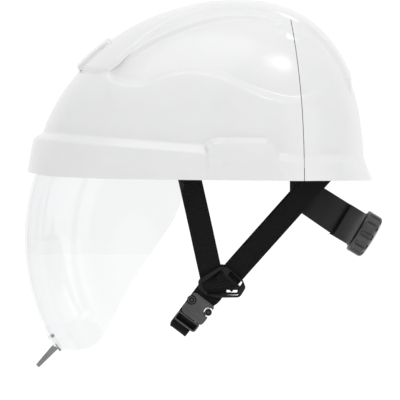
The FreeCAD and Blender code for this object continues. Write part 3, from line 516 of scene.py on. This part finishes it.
END_STRETCH = 1.5
RIDGE_WIDTH = [(-134.6, 0), (-133.6, 14), (-131.5, 25), (-127, 37), (-120, 50.5), (-114, 57), (-107, 61.5),
               (-98, 62.5), (-82, 58.5), (-62, 49.5), (-44, 41.5), (-20, 37.6), (20, 36.5), (60, 36),
               (106, 34)]
RIDGE_ENDS, BADGE_ENDS = (-133.2, 106.5), (-131.2, -102.4)
BADGE_HALF, BADGE_CORNER, BADGE_CORNERS_AT = 27.0, 4.0, (-131.5, -102.5)


def height_over(across, back):
    """The height of the dome over points of the plan."""
    low, high = np.zeros_like(across), np.full_like(across, TOP - 1e-4)
    for _ in range(40):
        middle = (low + high) / 2
        front, rear, side = reaches(middle)
        toward = np.where(back < CROWN_BACK, front, rear)
        blunt = np.where(back < CROWN_BACK, BLUNT_AHEAD, BLUNT_BEHIND)
        inside = (np.abs(back - CROWN_BACK) / toward) ** blunt + (np.abs(across) / side) ** blunt < 1
        low, high = np.where(inside, middle, low), np.where(inside, high, middle)
    return (low + high) / 2


def eased(count, edge):
    """Numbers from -1 to 1, close together over the last edge's share at each end."""
    near = np.linspace(0, edge, 13)[:-1]
    middle = np.linspace(edge, 2 - edge, count)
    return np.concatenate([near, middle, 2 - near[::-1]]) - 1


def raised_plate(name, node, half_width, ends, grow, edge, foot, columns, rows):
    """A plate moulded over the crown: half_width(back) wide, its edge sloping down to the shell."""
    start, end = ends
    backs = start + (end - start) * (eased(rows, 2 * edge / (end - start)) + 1) / 2
    half = half_width(backs)
    slant = np.gradient(half, backs)
    across = half[:, None] * eased(columns, edge / half.max())[None, :]
    behind = np.repeat(backs[:, None], across.shape[1], 1)
    side_way = (half[:, None] - np.abs(across)) / np.sqrt(1 + slant[:, None] ** 2)
    end_way = np.minimum(behind - start, end - behind) * END_STRETCH
    lift = foot + (grow - foot) * ramp(np.minimum(side_way, end_way) / edge, 0.3)
    up = height_over(across, behind)
    base = np.stack([across, behind, up], -1)
    normal = grid_normals(base)
    normal = normal * np.sign(normal[..., 2:3])
    points = base + normal * lift[..., None]
    new_piece(name, points.reshape(-1, 3), quads(*across.shape), "hat", WHITE, node, smooth_angle=80)


def ridge_half(back):
    """Half the crown ridge's width at a distance back."""
    return np.interp(back, *zip(*RIDGE_WIDTH))


def badge_half(back):
    """Half the front badge plate's width, with rounded corners."""
    start, end = BADGE_CORNERS_AT
    near = np.minimum(back - start, end - back)
    return BADGE_HALF - BADGE_CORNER + BADGE_CORNER * np.sqrt(np.clip(near / 5, 0, 1))


raised_plate("crown_ridge_skin", "crown_ridge", ridge_half, RIDGE_ENDS, RIDGE_PROUD, 3.6, -0.5, 81, 221)
raised_plate("front_badge_skin", "front_badge_plate", badge_half, BADGE_ENDS, BADGE_PROUD, 1.6, 1.0, 61, 61)

# ---------------------------------------------------------------- face shield

SHIELD_EDGE = [(-210, 24.5), (-100, 30.5), (-50, 30.5), (-38, 6), (-46, -30), (-88.9, -93.3), (-106, -127),
               (-116.7, -144.3), (-124, -149), (-136, -151.4), (-147, -149.6), (-158, -143), (-210, -110)]
SHIELD_CORNERS = [1, 6, 6, 9, 30, 30, 12, 8, 8, 8, 8, 8, 1]
SHIELD_THICK = 2.0
CREASE_AT, CREASE_WAY, CREASE_PROUD, CREASE_WIDE = (-151, -139), (0.82, 0.57), 0.7, 2.6


def rounded(corners, radius, steps=6):
    """A closed outline with its corners rounded off; radius is one number or one for each corner."""
    corners = [np.array(corner, float) for corner in corners]
    radii = np.broadcast_to(radius, len(corners))
    points = []
    for i, corner in enumerate(corners):
        before, after = corners[i - 1] - corner, corners[(i + 1) % len(corners)] - corner
        reach = min(radii[i], 0.45 * np.hypot(*before), 0.45 * np.hypot(*after))
        start = corner + before / np.hypot(*before) * reach
        end = corner + after / np.hypot(*after) * reach
        for share in np.linspace(0, 1, steps):
            points.append((1 - share) ** 2 * start + 2 * share * (1 - share) * corner + share**2 * end)
    return np.array(points)


def inside(points, outline):
    """Whether each (back, up) point lies inside the outline."""
    back, up = points[..., 0], points[..., 1]
    found = np.zeros(back.shape, bool)
    for (y0, z0), (y1, z1) in zip(outline, np.roll(outline, -1, 0)):
        crosses = (z0 > up) != (z1 > up)
        with np.errstate(divide="ignore", invalid="ignore"):
            found ^= crosses & (back < (y1 - y0) * (up - z0) / (z1 - z0) + y0)
    return found


def shield_points(share, turn):
    """Points of the shield's outer face: share of its half width, and turn above level."""
    share, turn = np.broadcast_arrays(share, turn)
    far = SHIELD_RADIUS * (1 - np.abs(share) ** 3) ** (1 / 2.6)
    return np.stack([SHIELD_HALF * share, AXIS_BACK - far * np.cos(turn), AXIS_UP + far * np.sin(turn)], -1)


def make_shield():
    """The clear shield, cut along its outline in side view, with a slanting crease at the chin."""
    outline = rounded(SHIELD_EDGE, SHIELD_CORNERS)
    shares = np.sin(np.linspace(-1, 1, 181) * math.pi / 2) * 0.9835
    shares = np.sign(shares) * np.abs(shares) ** 0.9
    fine = np.radians(np.linspace(-62, 62, 1601))
    grid = shield_points(shares[:, None], fine[None, :])
    hit = inside(grid[..., 1:], outline)
    low = fine[np.argmax(hit, 1)]
    high = fine[len(fine) - 1 - np.argmax(hit[:, ::-1], 1)]
    kept = hit.any(1)
    turns = low[kept, None] + (high - low)[kept, None] * np.linspace(0, 1, 101)[None, :]
    outer = shield_points(np.repeat(shares[kept, None], 101, 1), turns)
    normal = grid_normals(outer)
    out_way = outer - np.array([0, AXIS_BACK, AXIS_UP])
    normal = normal * np.sign((normal * out_way).sum(-1, keepdims=True))
    back, up = outer[..., 1] - CREASE_AT[0], outer[..., 2] - CREASE_AT[1]
    along = back * CREASE_WAY[0] + up * CREASE_WAY[1]
    off_line = -back * CREASE_WAY[1] + up * CREASE_WAY[0]
    crease = CREASE_PROUD * np.exp(-(off_line / CREASE_WIDE) ** 2) * smooth((27 - np.abs(along - 12)) / 10)
    outer = outer + normal * crease[..., None]
    verts, faces = walled(outer, outer - normal * SHIELD_THICK, 1)
    new_piece("face_shield_skin", verts, faces, "shield", CLEAR, "face_shield", smooth_angle=35)


make_shield()

# ---------------------------------------------------------------- plates, webbing and edged pieces

STATION_GAP, PICK_PITCH = 1.2, 2.4


def placed(origin, right, up):
    """A placement whose own X runs along right, Y along up; millimetres."""
    right, up = Vector(right).normalized(), Vector(up).normalized()
    turn = Matrix((right, up, right.cross(up))).transposed().to_4x4()
    return Matrix.Translation(Vector(origin) * MM) @ turn


def cut_plate(name, loops, thick, edge, place, body, material, *nodes):
    """A flat moulded plate with rounded edges; the first loop is its outline and the others are holes."""
    curve = bpy.data.curves.new(name, "CURVE")
    curve.dimensions, curve.fill_mode = "2D", "BOTH"
    curve.extrude, curve.bevel_depth, curve.bevel_resolution = (thick / 2 - edge) * MM, edge * MM, 3
    curve.offset = -edge * MM
    for loop in loops:
        spline = curve.splines.new("POLY")
        spline.points.add(len(loop) - 1)
        for point, (u, v) in zip(spline.points, loop):
            point.co = (u * MM, v * MM, 0, 1)
        spline.use_cyclic_u = True
    shape = linked(name + "_curve", curve)
    mesh = evaluated_mesh(shape)
    bpy.data.objects.remove(shape)
    mesh.transform(place)
    piece = linked(name, mesh)
    finish_mesh(piece, 50)
    return settle(piece, body, material, *nodes)


def stretched(loop, times):
    """A loop made larger about its middle."""
    return loop.mean(0) + (loop - loop.mean(0)) * times


def disc(centre, radius, steps=28):
    """A round loop."""
    turns = np.linspace(0, 2 * math.pi, steps, endpoint=False)
    return np.stack([centre[0] + radius * np.cos(turns), centre[1] + radius * np.sin(turns)], -1)


def evenly(points, gap):
    """Points along a bent line with its corners eased, about a gap apart."""
    points = np.array(points, float)
    for _ in range(3):
        nearer = points[:-1] * 0.75 + points[1:] * 0.25
        farther = points[:-1] * 0.25 + points[1:] * 0.75
        middle = np.stack([nearer, farther], 1).reshape(-1, points.shape[1])
        points = np.concatenate([points[:1], middle[1:-1], points[-1:]])
    run = np.concatenate([[0], np.cumsum(np.linalg.norm(np.diff(points[:, :3], axis=0), axis=1))])
    count = max(int(run[-1] / gap), 4)
    at = np.linspace(0, run[-1], count)
    return np.stack([np.interp(at, run, points[:, k]) for k in range(points.shape[1])], 1), at


def strap_ring(width, thick):
    """The outline of a strap's cut end, as distances across it and over its middle."""
    edge = thick * 0.45
    flat = np.linspace(-1, 1, 19) * (width / 2 - edge)
    turn = np.radians(np.linspace(90, -90, 7)[1:-1])
    across = np.concatenate([flat, width / 2 - edge + edge * np.cos(turn)])
    over = np.concatenate([np.full(len(flat), thick / 2), thick / 2 * np.sin(turn)])
    return np.concatenate([across, -across]), np.concatenate([over, -over])


def webbing(name, stations, width, thick, body, *nodes, side=1):
    """Woven strap through stations (x, y, z and the way across it), its edges rounded, its face ribbed."""
    stations = np.array(stations, float)
    stations[:, 0] *= side
    stations[:, 3] *= side
    line, run = evenly(stations, STATION_GAP)
    spine, across = line[:, :3], line[:, 3:]
    ahead = np.gradient(spine, axis=0)
    ahead /= np.linalg.norm(ahead, axis=1, keepdims=True)
    across = across - (across * ahead).sum(1, keepdims=True) * ahead
    across /= np.linalg.norm(across, axis=1, keepdims=True)
    over = np.cross(ahead, across)
    ring_u, ring_h = strap_ring(width, thick)
    bead = 1 + 0.16 * smooth((np.abs(ring_u) - width / 2 + 2.6) / 1.2)
    picks = 1 + 0.05 * np.sin(run * 2 * math.pi / PICK_PITCH)
    height = ring_h[None, :] * bead[None, :] * picks[:, None]
    points = spine[:, None] + across[:, None] * ring_u[None, :, None] + over[:, None] * height[..., None]
    rows, wide = points.shape[:2]
    ends = [tuple(range(wide)), tuple((rows - 1) * wide + c for c in reversed(range(wide)))]
    mesh = bpy.data.meshes.new(name)
    mesh.from_pydata((points.reshape(-1, 3) * MM).tolist(), [], quads(rows, wide, closed=True) + ends)
    layer = mesh.uv_layers.new(name="strap")
    for loop in mesh.loops:
        row, column = divmod(loop.vertex_index, wide)
        layer.data[loop.index].uv = run[row], ring_u[column]
    piece = linked(name, mesh)
    finish_mesh(piece, 50)
    return settle(piece, body, WEBBING, *nodes)


def edged(node, body, material, width, name=None, cut=None, keeps=True):
    """A CAD piece with softened edges, or the part of it on one side of a cut (point, way)."""
    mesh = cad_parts[node].data.copy()
    work = bmesh.new()
    work.from_mesh(mesh)
    bmesh.ops.remove_doubles(work, verts=work.verts, dist=1e-5)
    bmesh.ops.dissolve_limit(work, angle_limit=math.radians(1.5), verts=work.verts, edges=work.edges)
    if cut:
        point, way = cut
        every = work.verts[:] + work.edges[:] + work.faces[:]
        plane = {"plane_co": Vector(point) * MM, "plane_no": Vector(way)}
        sliced = bmesh.ops.bisect_plane(work, geom=every, clear_outer=True, **plane)
        rim = [item for item in sliced["geom_cut"] if isinstance(item, bmesh.types.BMEdge)]
        bmesh.ops.holes_fill(work, edges=rim, sides=0)
    work.to_mesh(mesh)
    work.free()
    piece = linked(name or node + "_moulded", mesh)
    bevel = piece.modifiers.new("edges", "BEVEL")
    bevel.width, bevel.segments = width * MM, 3
    bevel.limit_method, bevel.angle_limit = "ANGLE", math.radians(28)
    bevel.use_clamp_overlap = True
    mesh = evaluated_mesh(piece)
    piece.modifiers.clear()
    piece.data = mesh
    finish_mesh(piece, 40)
    return settle(piece, body, material, *((node,) if keeps else ()))


# ---------------------------------------------------------------- chin straps and their sliders

SLIDER_OUTLINE = [(-28.6, -90.6), (-23.8, -84.1), (-8.8, -74.8), (-1.8, -75.7), (10.6, -87.1), (13.7, -93.3),
                  (8.3, -102.1), (-12.3, -102.5), (-22.0, -100.3), (-25.9, -97.3)]
SLIDER_SLOTS = {
    "upper": [(-24.2, -89.6), (-9.0, -79.3), (-6.6, -82.6), (-21.0, -92.6)],
    "rear": [(0.9, -80.0), (11.0, -89.8), (8.6, -93.8), (-1.6, -83.4)],
    "lower": [(-19.6, -95.4), (6.0, -95.2), (5.0, -100.0), (-18.0, -99.2)],
}
SLOT_STRETCH, RIM_STRETCH = 1.14, 1.10
SLIDER_THICK, SLIDER_RIM_THICK = 2.3, 3.1
OUTSIDE = 69.9
STRAP_THICK = 1.5
FRONT_ACROSS, REAR_ACROSS = (0, 0.976, 0.218), (0, 0.746, -0.665)
FRONT_RUN = [(79.6, -42.0, 30.0), (79.6, -39.6, 20), (76.5, -33.3, -8), (73.0, -26.5, -38),
             (69.6, -19.6, -70), (67.6, -17.5, -79.0), (67.3, -16.6, -83.5), (70.0, -15.2, -86.6),
             (71.9, -14.3, -90.0)]
FRONT_END = [(71.6, -13.4, -94.2, 0, 1, 0.03), (68.6, -13.4, -97.6, 0, 1, -0.05)]
LOWER_LOOP = [(68.4, -13.6, -96.6, 0, 1, -0.02), (68.2, -15.2, -100.0, 0, 0.95, -0.3),
              (69.4, -18.6, -102.6, 0, 0.86, -0.5), (70.4, -22.4, -104.6, 0, 0.8, -0.6)]
REAR_RUN = [(78.3, 84.0, 9.8), (75.6, 62, -14.8), (72.2, 36, -43.9), (68.9, 10.4, -72.6), (67.4, 4.4, -79.4),
            (67.4, 1.6, -82.6), (70.0, -0.8, -85.4), (71.2, -3.4, -88.2), (71.0, -6.0, -91.2)]


def make_slider(side, end):
    """One side's three-way plate, with a raised rim round each of its slots."""
    place = placed((side * OUTSIDE, 0, 0), (0, 1, 0), (0, 0, 1))
    slots = {name: stretched(rounded(slot, 1.1), SLOT_STRETCH) for name, slot in SLIDER_SLOTS.items()}
    loops = [rounded(SLIDER_OUTLINE, 2.6), *slots.values()]
    cut_plate(f"slider_{end}", loops, SLIDER_THICK, 0.7, place, "hat", BLACK, f"three_way_slider_{end}")
    for name, slot in slots.items():
        rim = stretched(slot, RIM_STRETCH)
        cut_plate(f"slider_{name}_rim_{end}", [rim, slot], SLIDER_RIM_THICK, 0.35, place, "hat", BLACK)


def make_side(side, end):
    """One side's three-way plate and its two upper straps; on the left, the loop to the buckle too."""
    make_slider(side, end)
    front = [(*point, *FRONT_ACROSS) for point in FRONT_RUN] + FRONT_END
    rear = [(*point, *REAR_ACROSS) for point in REAR_RUN]
    webbing(f"front_strap_{end}", front, 20.2, STRAP_THICK, "hat", f"chin_strap_front_{end}", side=side)
    if side > 0:
        webbing("lower_loop", LOWER_LOOP, 16.6, STRAP_THICK, "hat", "buckle_loop")
    webbing(f"rear_strap_{end}", rear, 19.0, STRAP_THICK, "hat", f"chin_strap_rear_{end}", side=side)


make_side(1, "left")
make_side(-1, "right")

# ---------------------------------------------------------------- side-release buckle

BUCKLE_AT = (71.6, -28.4, -112.2)
ACROSS_WAY, DOWN_WAY = (0, 0.8, -0.6), (0, -0.6, -0.8)
NOTCH_ALONG, NOTCH_RADIUS = -3.3, 4.2
SOCKET_THICK, LIP_THICK, BAR_THICK, PRONG_THICK = 8.6, 9.5, 7.4, 3.8
PRONG = [(5.4, 11.5), (8.4, 11.5), (8.9, -1.5), (7.6, -5.8), (6.2, -5.8)]
CHIN_RUN = [(68.9, 14.4), (68.8, 17), (68.7, 20.4), (68.2, 22.6), (66.6, 24.4), (64.4, 25.1), (61, 25.2),
            (0, 25.2), (-61, 25.2), (-64.4, 25.1), (-66.6, 24.4), (-68.2, 22.6), (-68.7, 20.4), (-68.7, 16),
            (-68.7, -16), (-69.0, -19)]


def on_buckle(across, along):
    """A point laid out on the buckle: across it, and down towards the chin."""
    return [at + across * right + along * down for at, right, down in zip(BUCKLE_AT, ACROSS_WAY, DOWN_WAY)]


def buckle_plate(name, loops, thick, edge, body, material, *nodes, out=0.0):
    """A plate lying in the buckle's plane, or out from it by a distance."""
    place = placed(BUCKLE_AT + np.array([out, 0, 0]), ACROSS_WAY, DOWN_WAY)
    return cut_plate(name, loops, thick, edge, place, body, material, *nodes)


def socket_outline():
    """The socket's outline: soft corners and a round finger notch in each side."""
    turns = np.radians(np.linspace(-64, -296, 20))
    notch = np.stack([9.2 + NOTCH_RADIUS * np.cos(turns), NOTCH_ALONG + NOTCH_RADIUS * np.sin(turns)], -1)
    above = [(8.6, -10.6), (9.9, -10.2), (10.8, -9.2), (11.0, -8.2)]
    below = [(11.4, 1.6), (11.5, 4.6), (11.2, 7.6), (10.5, 9.2), (9.2, 10.1)]
    half = np.concatenate([above, notch, below])
    return np.concatenate([half, half[::-1] * (-1, 1)])


def make_socket():
    """The buckle's socket with its finger notches, and the lip round its mouth."""
    buckle_plate("buckle_shell", [socket_outline()], SOCKET_THICK, 0.8, "hat", DARK, "buckle_socket")
    lip = rounded([(-9.6, 6.2), (9.6, 6.2), (9.8, 9.9), (-9.8, 9.9)], 1.2)
    buckle_plate("buckle_lip", [lip], LIP_THICK, 0.6, "hat", DARK)


def make_button(hand):
    """The ringed button at a prong's end, which shows in the finger notch; its sunk dish carries painted
    shade.
    """
    middle, index = (hand * 9.0, NOTCH_ALONG), hand + 1
    buckle_plate(f"prong_ring_{index}", [disc(middle, 3.2), disc(middle, 2.3)], 8.0, 0.4, "chin_plug", DARK)
    # painted shade: the sunk dish between the ring and the core takes the darker black plastic, standing in
    # for the shade in the dimple
    buckle_plate(f"prong_dish_{index}", [disc(middle, 2.4)], 5.4, 0.3, "chin_plug", BLACK)
    buckle_plate(f"prong_core_{index}", [disc(middle, 1.1)], 7.2, 0.4, "chin_plug", DARK)


def make_prong(hand):
    """One prong of the plug."""
    outline = rounded([(hand * across, along) for across, along in PRONG], 1.0)
    buckle_plate(f"plug_prong_{hand + 1}", [outline], PRONG_THICK, 0.6, "chin_plug", DARK)


def make_plug():
    """The buckle's plug: its bar with the strap slot, its tongue, its two prongs with their buttons, and
    painted shade in the upper finger notch.
    """
    bar = rounded([(-12.2, 10.3), (9.9, 10.3), (9.9, 16.9), (8.2, 18.9), (-11.4, 18.9), (-12.4, 17.6)], 1.2)
    slot = rounded([(-11.0, 12.0), (8.4, 12.0), (8.2, 17.2), (-10.8, 17.4)], 0.8)
    rear_web = rounded([(-11.4, 11.0), (9.0, 11.0), (8.8, 18.0), (-11.2, 18.0)], 0.8)
    tongue = rounded([(-2.2, -9), (2.2, -9), (2.2, 12), (-2.2, 12)], 0.8)
    for hand in (-1, 1):
        make_button(hand)
    # painted shade: a black disc deep in the upper finger notch, darkening its floor where shade falls
    buckle_plate("notch_floor_painted_shade", [disc((-8.6, NOTCH_ALONG), 4.5)], PRONG_THICK, 0.5, "chin_plug", BLACK)
    buckle_plate("plug_rear_web", [rear_web], 1.0, 0.3, "chin_plug", BLACK, out=-4.2)
    buckle_plate("plug_bar", [bar, slot], BAR_THICK, 1.3, "chin_plug", DARK, "buckle_plug")
    buckle_plate("plug_tongue", [tongue], 3.4, 0.5, "chin_plug", DARK)
    for hand in (-1, 1):
        make_prong(hand)


def make_chin_strap():
    """The strap from the plug, under the chin and up to the right-hand slider."""
    stations = []
    for side, along in CHIN_RUN:
        _, back, up = on_buckle(-2.6, along)
        stations.append((side, back, up, *ACROSS_WAY))
    webbing("chin_strap_webbing", stations, 16.8, STRAP_THICK, "chin_plug", "chin_webbing")


make_socket()
make_plug()
make_chin_strap()

# ---------------------------------------------------------------- nape adjuster

NAPE_AT, NAPE_TILT = (0, 111.4, -43.3), -31.1
NAPE = Matrix.Translation(Vector(NAPE_AT) * MM) @ Matrix.Rotation(math.radians(NAPE_TILT), 4, "X")
KNOB_RADIUS, KNOB_TOP, KNOB_FLUTES, KNOB_POINTS = 19.9, 17.3, 12, 360
FLUTE_DEPTH, FLUTE_FOOT, FLUTE_HALF, FLUTE_SLOPE = 2.3, 6.0, 2.7, 0.9


def nape_point(points):
    """Points laid out in the nape's own frame, in the hat's millimetres."""
    turn = np.array(NAPE.to_3x3())
    return np.asarray(points) @ turn.T + np.array(NAPE_AT)


def make_knob():
    """The round wheel: rolled rims, a crowned outer face and twelve finger flutes open towards it."""
    inner_rim = [(17.2, 0.7), (18.9, 0.9), (19.6, 1.5), (KNOB_RADIUS, 2.4)]
    wall = [(KNOB_RADIUS, high) for high in np.linspace(3.0, 12.6, 21)]
    outer_rim = [(19.8, 13.4), (19.5, 14.1), (19.0, 14.8), (18.2, 15.4), (17.0, 15.9)]
    face = [(14.0, 16.5), (10.0, 16.9), (5.0, 17.2), (0.01, KNOB_TOP)]
    profile = np.array(inner_rim + wall + outer_rim + face)
    reach, high = profile[:, :1], profile[:, 1:]
    turns = np.linspace(0, 2 * math.pi, KNOB_POINTS + 1)[:-1]
    step = 2 * math.pi / KNOB_FLUTES
    from_flute = (turns + step / 2) % step - step / 2
    distance = np.hypot(from_flute[None, :] * 19.5, np.clip(FLUTE_FOOT - high, 0, None))
    dent = FLUTE_DEPTH * ramp((FLUTE_HALF - distance) / FLUTE_SLOPE, 0.3) * (reach > 17)
    radius = reach - dent
    points = np.stack([radius * np.sin(turns), np.repeat(high, KNOB_POINTS, 1), radius * np.cos(turns)], -1)
    verts = nape_point(points.reshape(-1, 3))
    faces = quads(len(profile), KNOB_POINTS, closed=True) + [tuple(range(KNOB_POINTS))]
    new_piece("knob_wheel", verts, faces, "knob", DARK, "adjuster_knob", smooth_angle=50)


def cushion(name, half_wide, half_high, thick, shape, node, grooves):
    """A crowned foam pad with soft edges and pressed grooves; shape(u, v, w) gives its points' places."""
    u = np.sin(np.linspace(-1, 1, 61) * math.pi / 2)
    v = np.sin(np.linspace(-1, 1, 41) * math.pi / 2)
    grid_u, grid_v = np.meshgrid(u, v, indexing="ij")
    full = np.clip((1 - np.abs(grid_u) ** 8) * (1 - np.abs(grid_v) ** 6), 0, 1) ** 0.42
    crown = full * (0.86 + 0.14 * np.cos(grid_u * 1.4) * np.cos(grid_v * 1.4))
    for axis, at in grooves:
        across = (grid_u * half_wide if axis == "u" else grid_v * half_high) - at
        crown = crown * (1 - 0.32 * np.exp(-(across / 1.5) ** 2))
    wrinkle = 0.035 * np.sin(grid_u * 17 + 2 * np.sin(grid_v * 5)) * np.sin(grid_v * 13 + grid_u * 4)
    swell = thick / 2 * crown * (1 + wrinkle)
    skins = [shape(grid_u * half_wide, grid_v * half_high, sign * swell) for sign in (1, -1)]
    verts, faces = walled(*skins, 1)
    piece = new_piece(name, verts, faces, "hat", PADDING, node, smooth_angle=80)


def nape_pad(u, v, w):
    """The place on the nape pad: u across, v up and w towards the wheel."""
    return nape_point(np.stack([u, -12.1 + w, v], -1))


make_knob()
edged("nape_housing", "hat", BLACK, 1.1)
edged("nape_cover", "hat", BLACK, 0.5)
edged("nape_arm_left", "arm_left", BLACK, 0.45)
edged("nape_arm_right", "arm_right", BLACK, 0.45)
cushion("nape_cushion", 29.5, 13.9, 6.2, nape_pad, "nape_pad", [("u", -14.5), ("u", 0), ("u", 14.5)])
collar = [disc((0, 0), 16.4, 48), disc((0, 0), 12.0, 48)]
collar_place = NAPE @ placed((0, 0.35, 0), (1, 0, 0), (0, 0, 1))
cut_plate("nape_collar", collar, 1.2, 0.3, collar_place, "hat", BLACK)

# ---------------------------------------------------------------- head harness

HEAD_WIDTH, HEAD_LENGTH, HEAD_BACK, HEAD_BLUNT = 74.0, 94.0, 2.0, 2.3
HEAD_MIDDLE = np.array([0, CROWN_BACK, 30.0])
CROWN_PAD_RADIUS, CROWN_PAD_DOME, CROWN_PAD_CENTRE = 37.6, 109.75, 14.4
EDGED_NODES = {"headband": 0.5, "suspension_frame": 0.6, "headband_hangers": 0.5, "crown_strap_clips": 0.6,
               "strap_anchor_front_left": 0.6, "strap_anchor_front_right": 0.6,
               "strap_anchor_rear_left": 0.8, "strap_anchor_rear_right": 0.8}
ABOVE_BRIM = (0, 0, 1.0), (0, 0, -1)
TAB_CUT, TAB_WAY = (0, -151.2, -146.9), np.array([0, 0.766, 0.643])


def round_head(turn, outside):
    """The point of the blunt oval about the head at a turn from the front, outside it by a distance."""
    ahead, across = np.cos(turn), np.sin(turn)
    lengthwise = (np.abs(ahead) / (HEAD_LENGTH + outside)) ** HEAD_BLUNT
    sideways = (np.abs(across) / (HEAD_WIDTH + outside)) ** HEAD_BLUNT
    far = (lengthwise + sideways) ** (-1 / HEAD_BLUNT)
    return far * across, HEAD_BACK - far * ahead


def brow(u, v, w):
    """The place on the brow pad: u round the head, v up and w outward."""
    across, back = round_head(u / 78.0, -1.75 + w)
    return np.stack([across, back, 19.0 + v], -1)


def crown(u, v, w):
    """The place on the crown pad, its square grid drawn out to a round one."""
    a, b = u / 38.0, v / 38.0
    across = CROWN_PAD_RADIUS * a * np.sqrt(1 - b * b / 2)
    back = CROWN_PAD_RADIUS * b * np.sqrt(1 - a * a / 2)
    up = CROWN_PAD_CENTRE + np.sqrt((CROWN_PAD_DOME + w) ** 2 - across**2 - back**2)
    return np.stack([across, HEAD_BACK + back, up], -1)


def over_head(name, azimuth, top, reach):
    """A webbing strap over the head, its ends tucked behind the suspension frame."""
    turns = np.radians(np.linspace(3, 177, 59))
    level, rising = np.cos(turns), np.sin(turns)
    far = ((np.abs(level) / (reach + 0.7)) ** 2.2 + (np.abs(rising) / (top - 23.3)) ** 2.2) ** (-1 / 2.2)
    c, s = math.cos(math.radians(azimuth)), math.sin(math.radians(azimuth))
    arch = zip(far * level, 24 + far * rising)
    stations = [(-s * along, c * along + HEAD_BACK, up, c, s, 0) for along, up in arch]
    webbing(name, stations, 18.8, 1.4, "hat", name)


def make_seam_strip():
    """The strip behind the shells' seam, sunk where the shells have their hollow."""
    strip = edged("seam_strip", "hat", INNER_GREY, 0.3)
    for vertex in strip.data.vertices:
        place = np.array(vertex.co) / MM
        sunk = max(0.0, -float(hollow_relief(*place)))
        inward = (HEAD_MIDDLE - place) / np.linalg.norm(HEAD_MIDDLE - place)
        vertex.co = Vector((place + inward * sunk * 1.15) * MM)


cushion("brow_cushion", 128.0, 14.3, 3.2, brow, "sweatband", [("v", -9.0), ("v", 9.0)])
cushion("crown_cushion", 38.0, 38.0, 4.4, crown, "crown_pad", [("u", -13.0), ("u", 13.0)])
over_head("crown_strap_fore_and_aft", 0, 127.0, 97.0)
over_head("crown_strap_left_to_right", 58, 129.0, 83.0)
over_head("crown_strap_right_to_left", -58, 131.0, 83.0)
for node, width in EDGED_NODES.items():
    edged(node, "hat", BLACK, width)
make_seam_strip()
for side in ("left", "right"):
    edged(f"guide_rail_{side}", "hat", BLACK, 0.4, cut=ABOVE_BRIM)
    edged(f"shield_runner_{side}", "shield", DARK, 0.5, cut=ABOVE_BRIM)
edged("shield_grip_tab", "shield", SMOKE, 0.5, "grip_blade", cut=(TAB_CUT, TAB_WAY))
edged("shield_grip_tab", "shield", CLEAR, 0.3, "grip_foot", cut=(TAB_CUT, -TAB_WAY), keeps=False)


def cad_material(name):
    """The material of a CAD piece that stays as it is."""
    if name == "grip_tab_rivets":
        return CLEAR
    return STEEL if "screw" in name or name == "click_spring" else BLACK


for name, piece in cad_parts.items():
    piece.data.materials.clear()
    piece.data.materials.append(cad_material(name))

# ---------------------------------------------------------------- floor, light and camera, in metres

FLOOR_DROP, FLOOR_REACH = 0.06, 14.0
WORLD_RANGE = (0.47, 1.04)
# the sensor's width is in millimetres
SENSOR_WIDTH, CAMERA_DISTANCE, VIEW_WIDTH = 36.0, 6.0, 0.352
CAMERA_LEVEL, CAMERA_BACK, VIEW_LEVEL = 0.003, -0.0264, -0.0176


def floor_material():
    """Plain pale studio paper."""
    material, tree, shader = nodes_of("studio_paper")
    colour = shades(tree, noise(tree, 3.0), (0.95, 0.95, 0.95), (0.965, 0.965, 0.965))
    tree.links.new(colour, shader.inputs["Base Color"])
    shader.inputs["Roughness"].default_value = 0.9
    shader.inputs["Emission Color"].default_value = (1, 1, 1, 1)
    shader.inputs["Emission Strength"].default_value = 0.16
    return material


def make_floor():
    """A wide pale floor under the hat."""
    low, reach = cad_bounds[0][2] - FLOOR_DROP, FLOOR_REACH
    mesh = bpy.data.meshes.new("floor")
    corners = [(-reach, -reach, low), (reach, -reach, low), (reach, reach, low), (-reach, reach, low)]
    mesh.from_pydata(corners, [], [(0, 1, 2, 3)])
    mesh.materials.append(floor_material())
    floor = linked("floor", mesh)


def area_light(name, place, size, power):
    """A soft square light aimed at the hat."""
    light = bpy.data.lights.new(name, "AREA")
    light.size = size
    light.energy = power
    lamp = linked(name, light)
    lamp.location = place
    lamp.rotation_euler = (-Vector(place)).to_track_quat("-Z", "Y").to_euler()


def make_world():
    """A pale surround: white behind the hat and above it, softer on the lit side and below."""
    world = bpy.data.worlds.new("studio")
    bpy.context.scene.world = world
    world.use_nodes = True
    tree = world.node_tree
    view = add_node(tree, "TexCoord").outputs["Generated"]
    split = add_node(tree, "SeparateXYZ", Vector=view)
    behind = ranged(tree, split.outputs["X"], (0.1, -0.7), (0.0, 1.0))
    above = ranged(tree, split.outputs["Z"], (-0.2, 0.9), (0.0, 1.0))
    bright = calculated(tree, "MAXIMUM", behind, above)
    back = tree.nodes["Background"].inputs
    tree.links.new(ranged(tree, bright, (0.0, 1.0), WORLD_RANGE), back["Strength"])
    back["Color"].default_value = (1, 1, 1, 1)


def make_camera():
    """A long lens level with the brim, square to the wearer's left side, framed lower."""
    data = bpy.data.cameras.new("side_camera")
    data.sensor_width = SENSOR_WIDTH
    data.lens = SENSOR_WIDTH * CAMERA_DISTANCE / VIEW_WIDTH
    data.shift_y = (VIEW_LEVEL - CAMERA_LEVEL) / VIEW_WIDTH
    camera = linked("side_camera", data)
    camera.location = (CAMERA_DISTANCE, CAMERA_BACK, CAMERA_LEVEL)
    camera.rotation_euler = (math.radians(90), 0, math.radians(90))
    bpy.context.scene.camera = camera


bpy.context.scene.view_settings.view_transform = "Standard"
make_floor()
make_world()
area_light("key", (0.70, 0.63, 1.42), 0.20, 2.6)
area_light("overhead", (0.5, -0.3, 1.5), 1.1, 5.0)
area_light("rear_fill", (0.9, 1.3, 0.3), 0.8, 1.6)
make_camera()
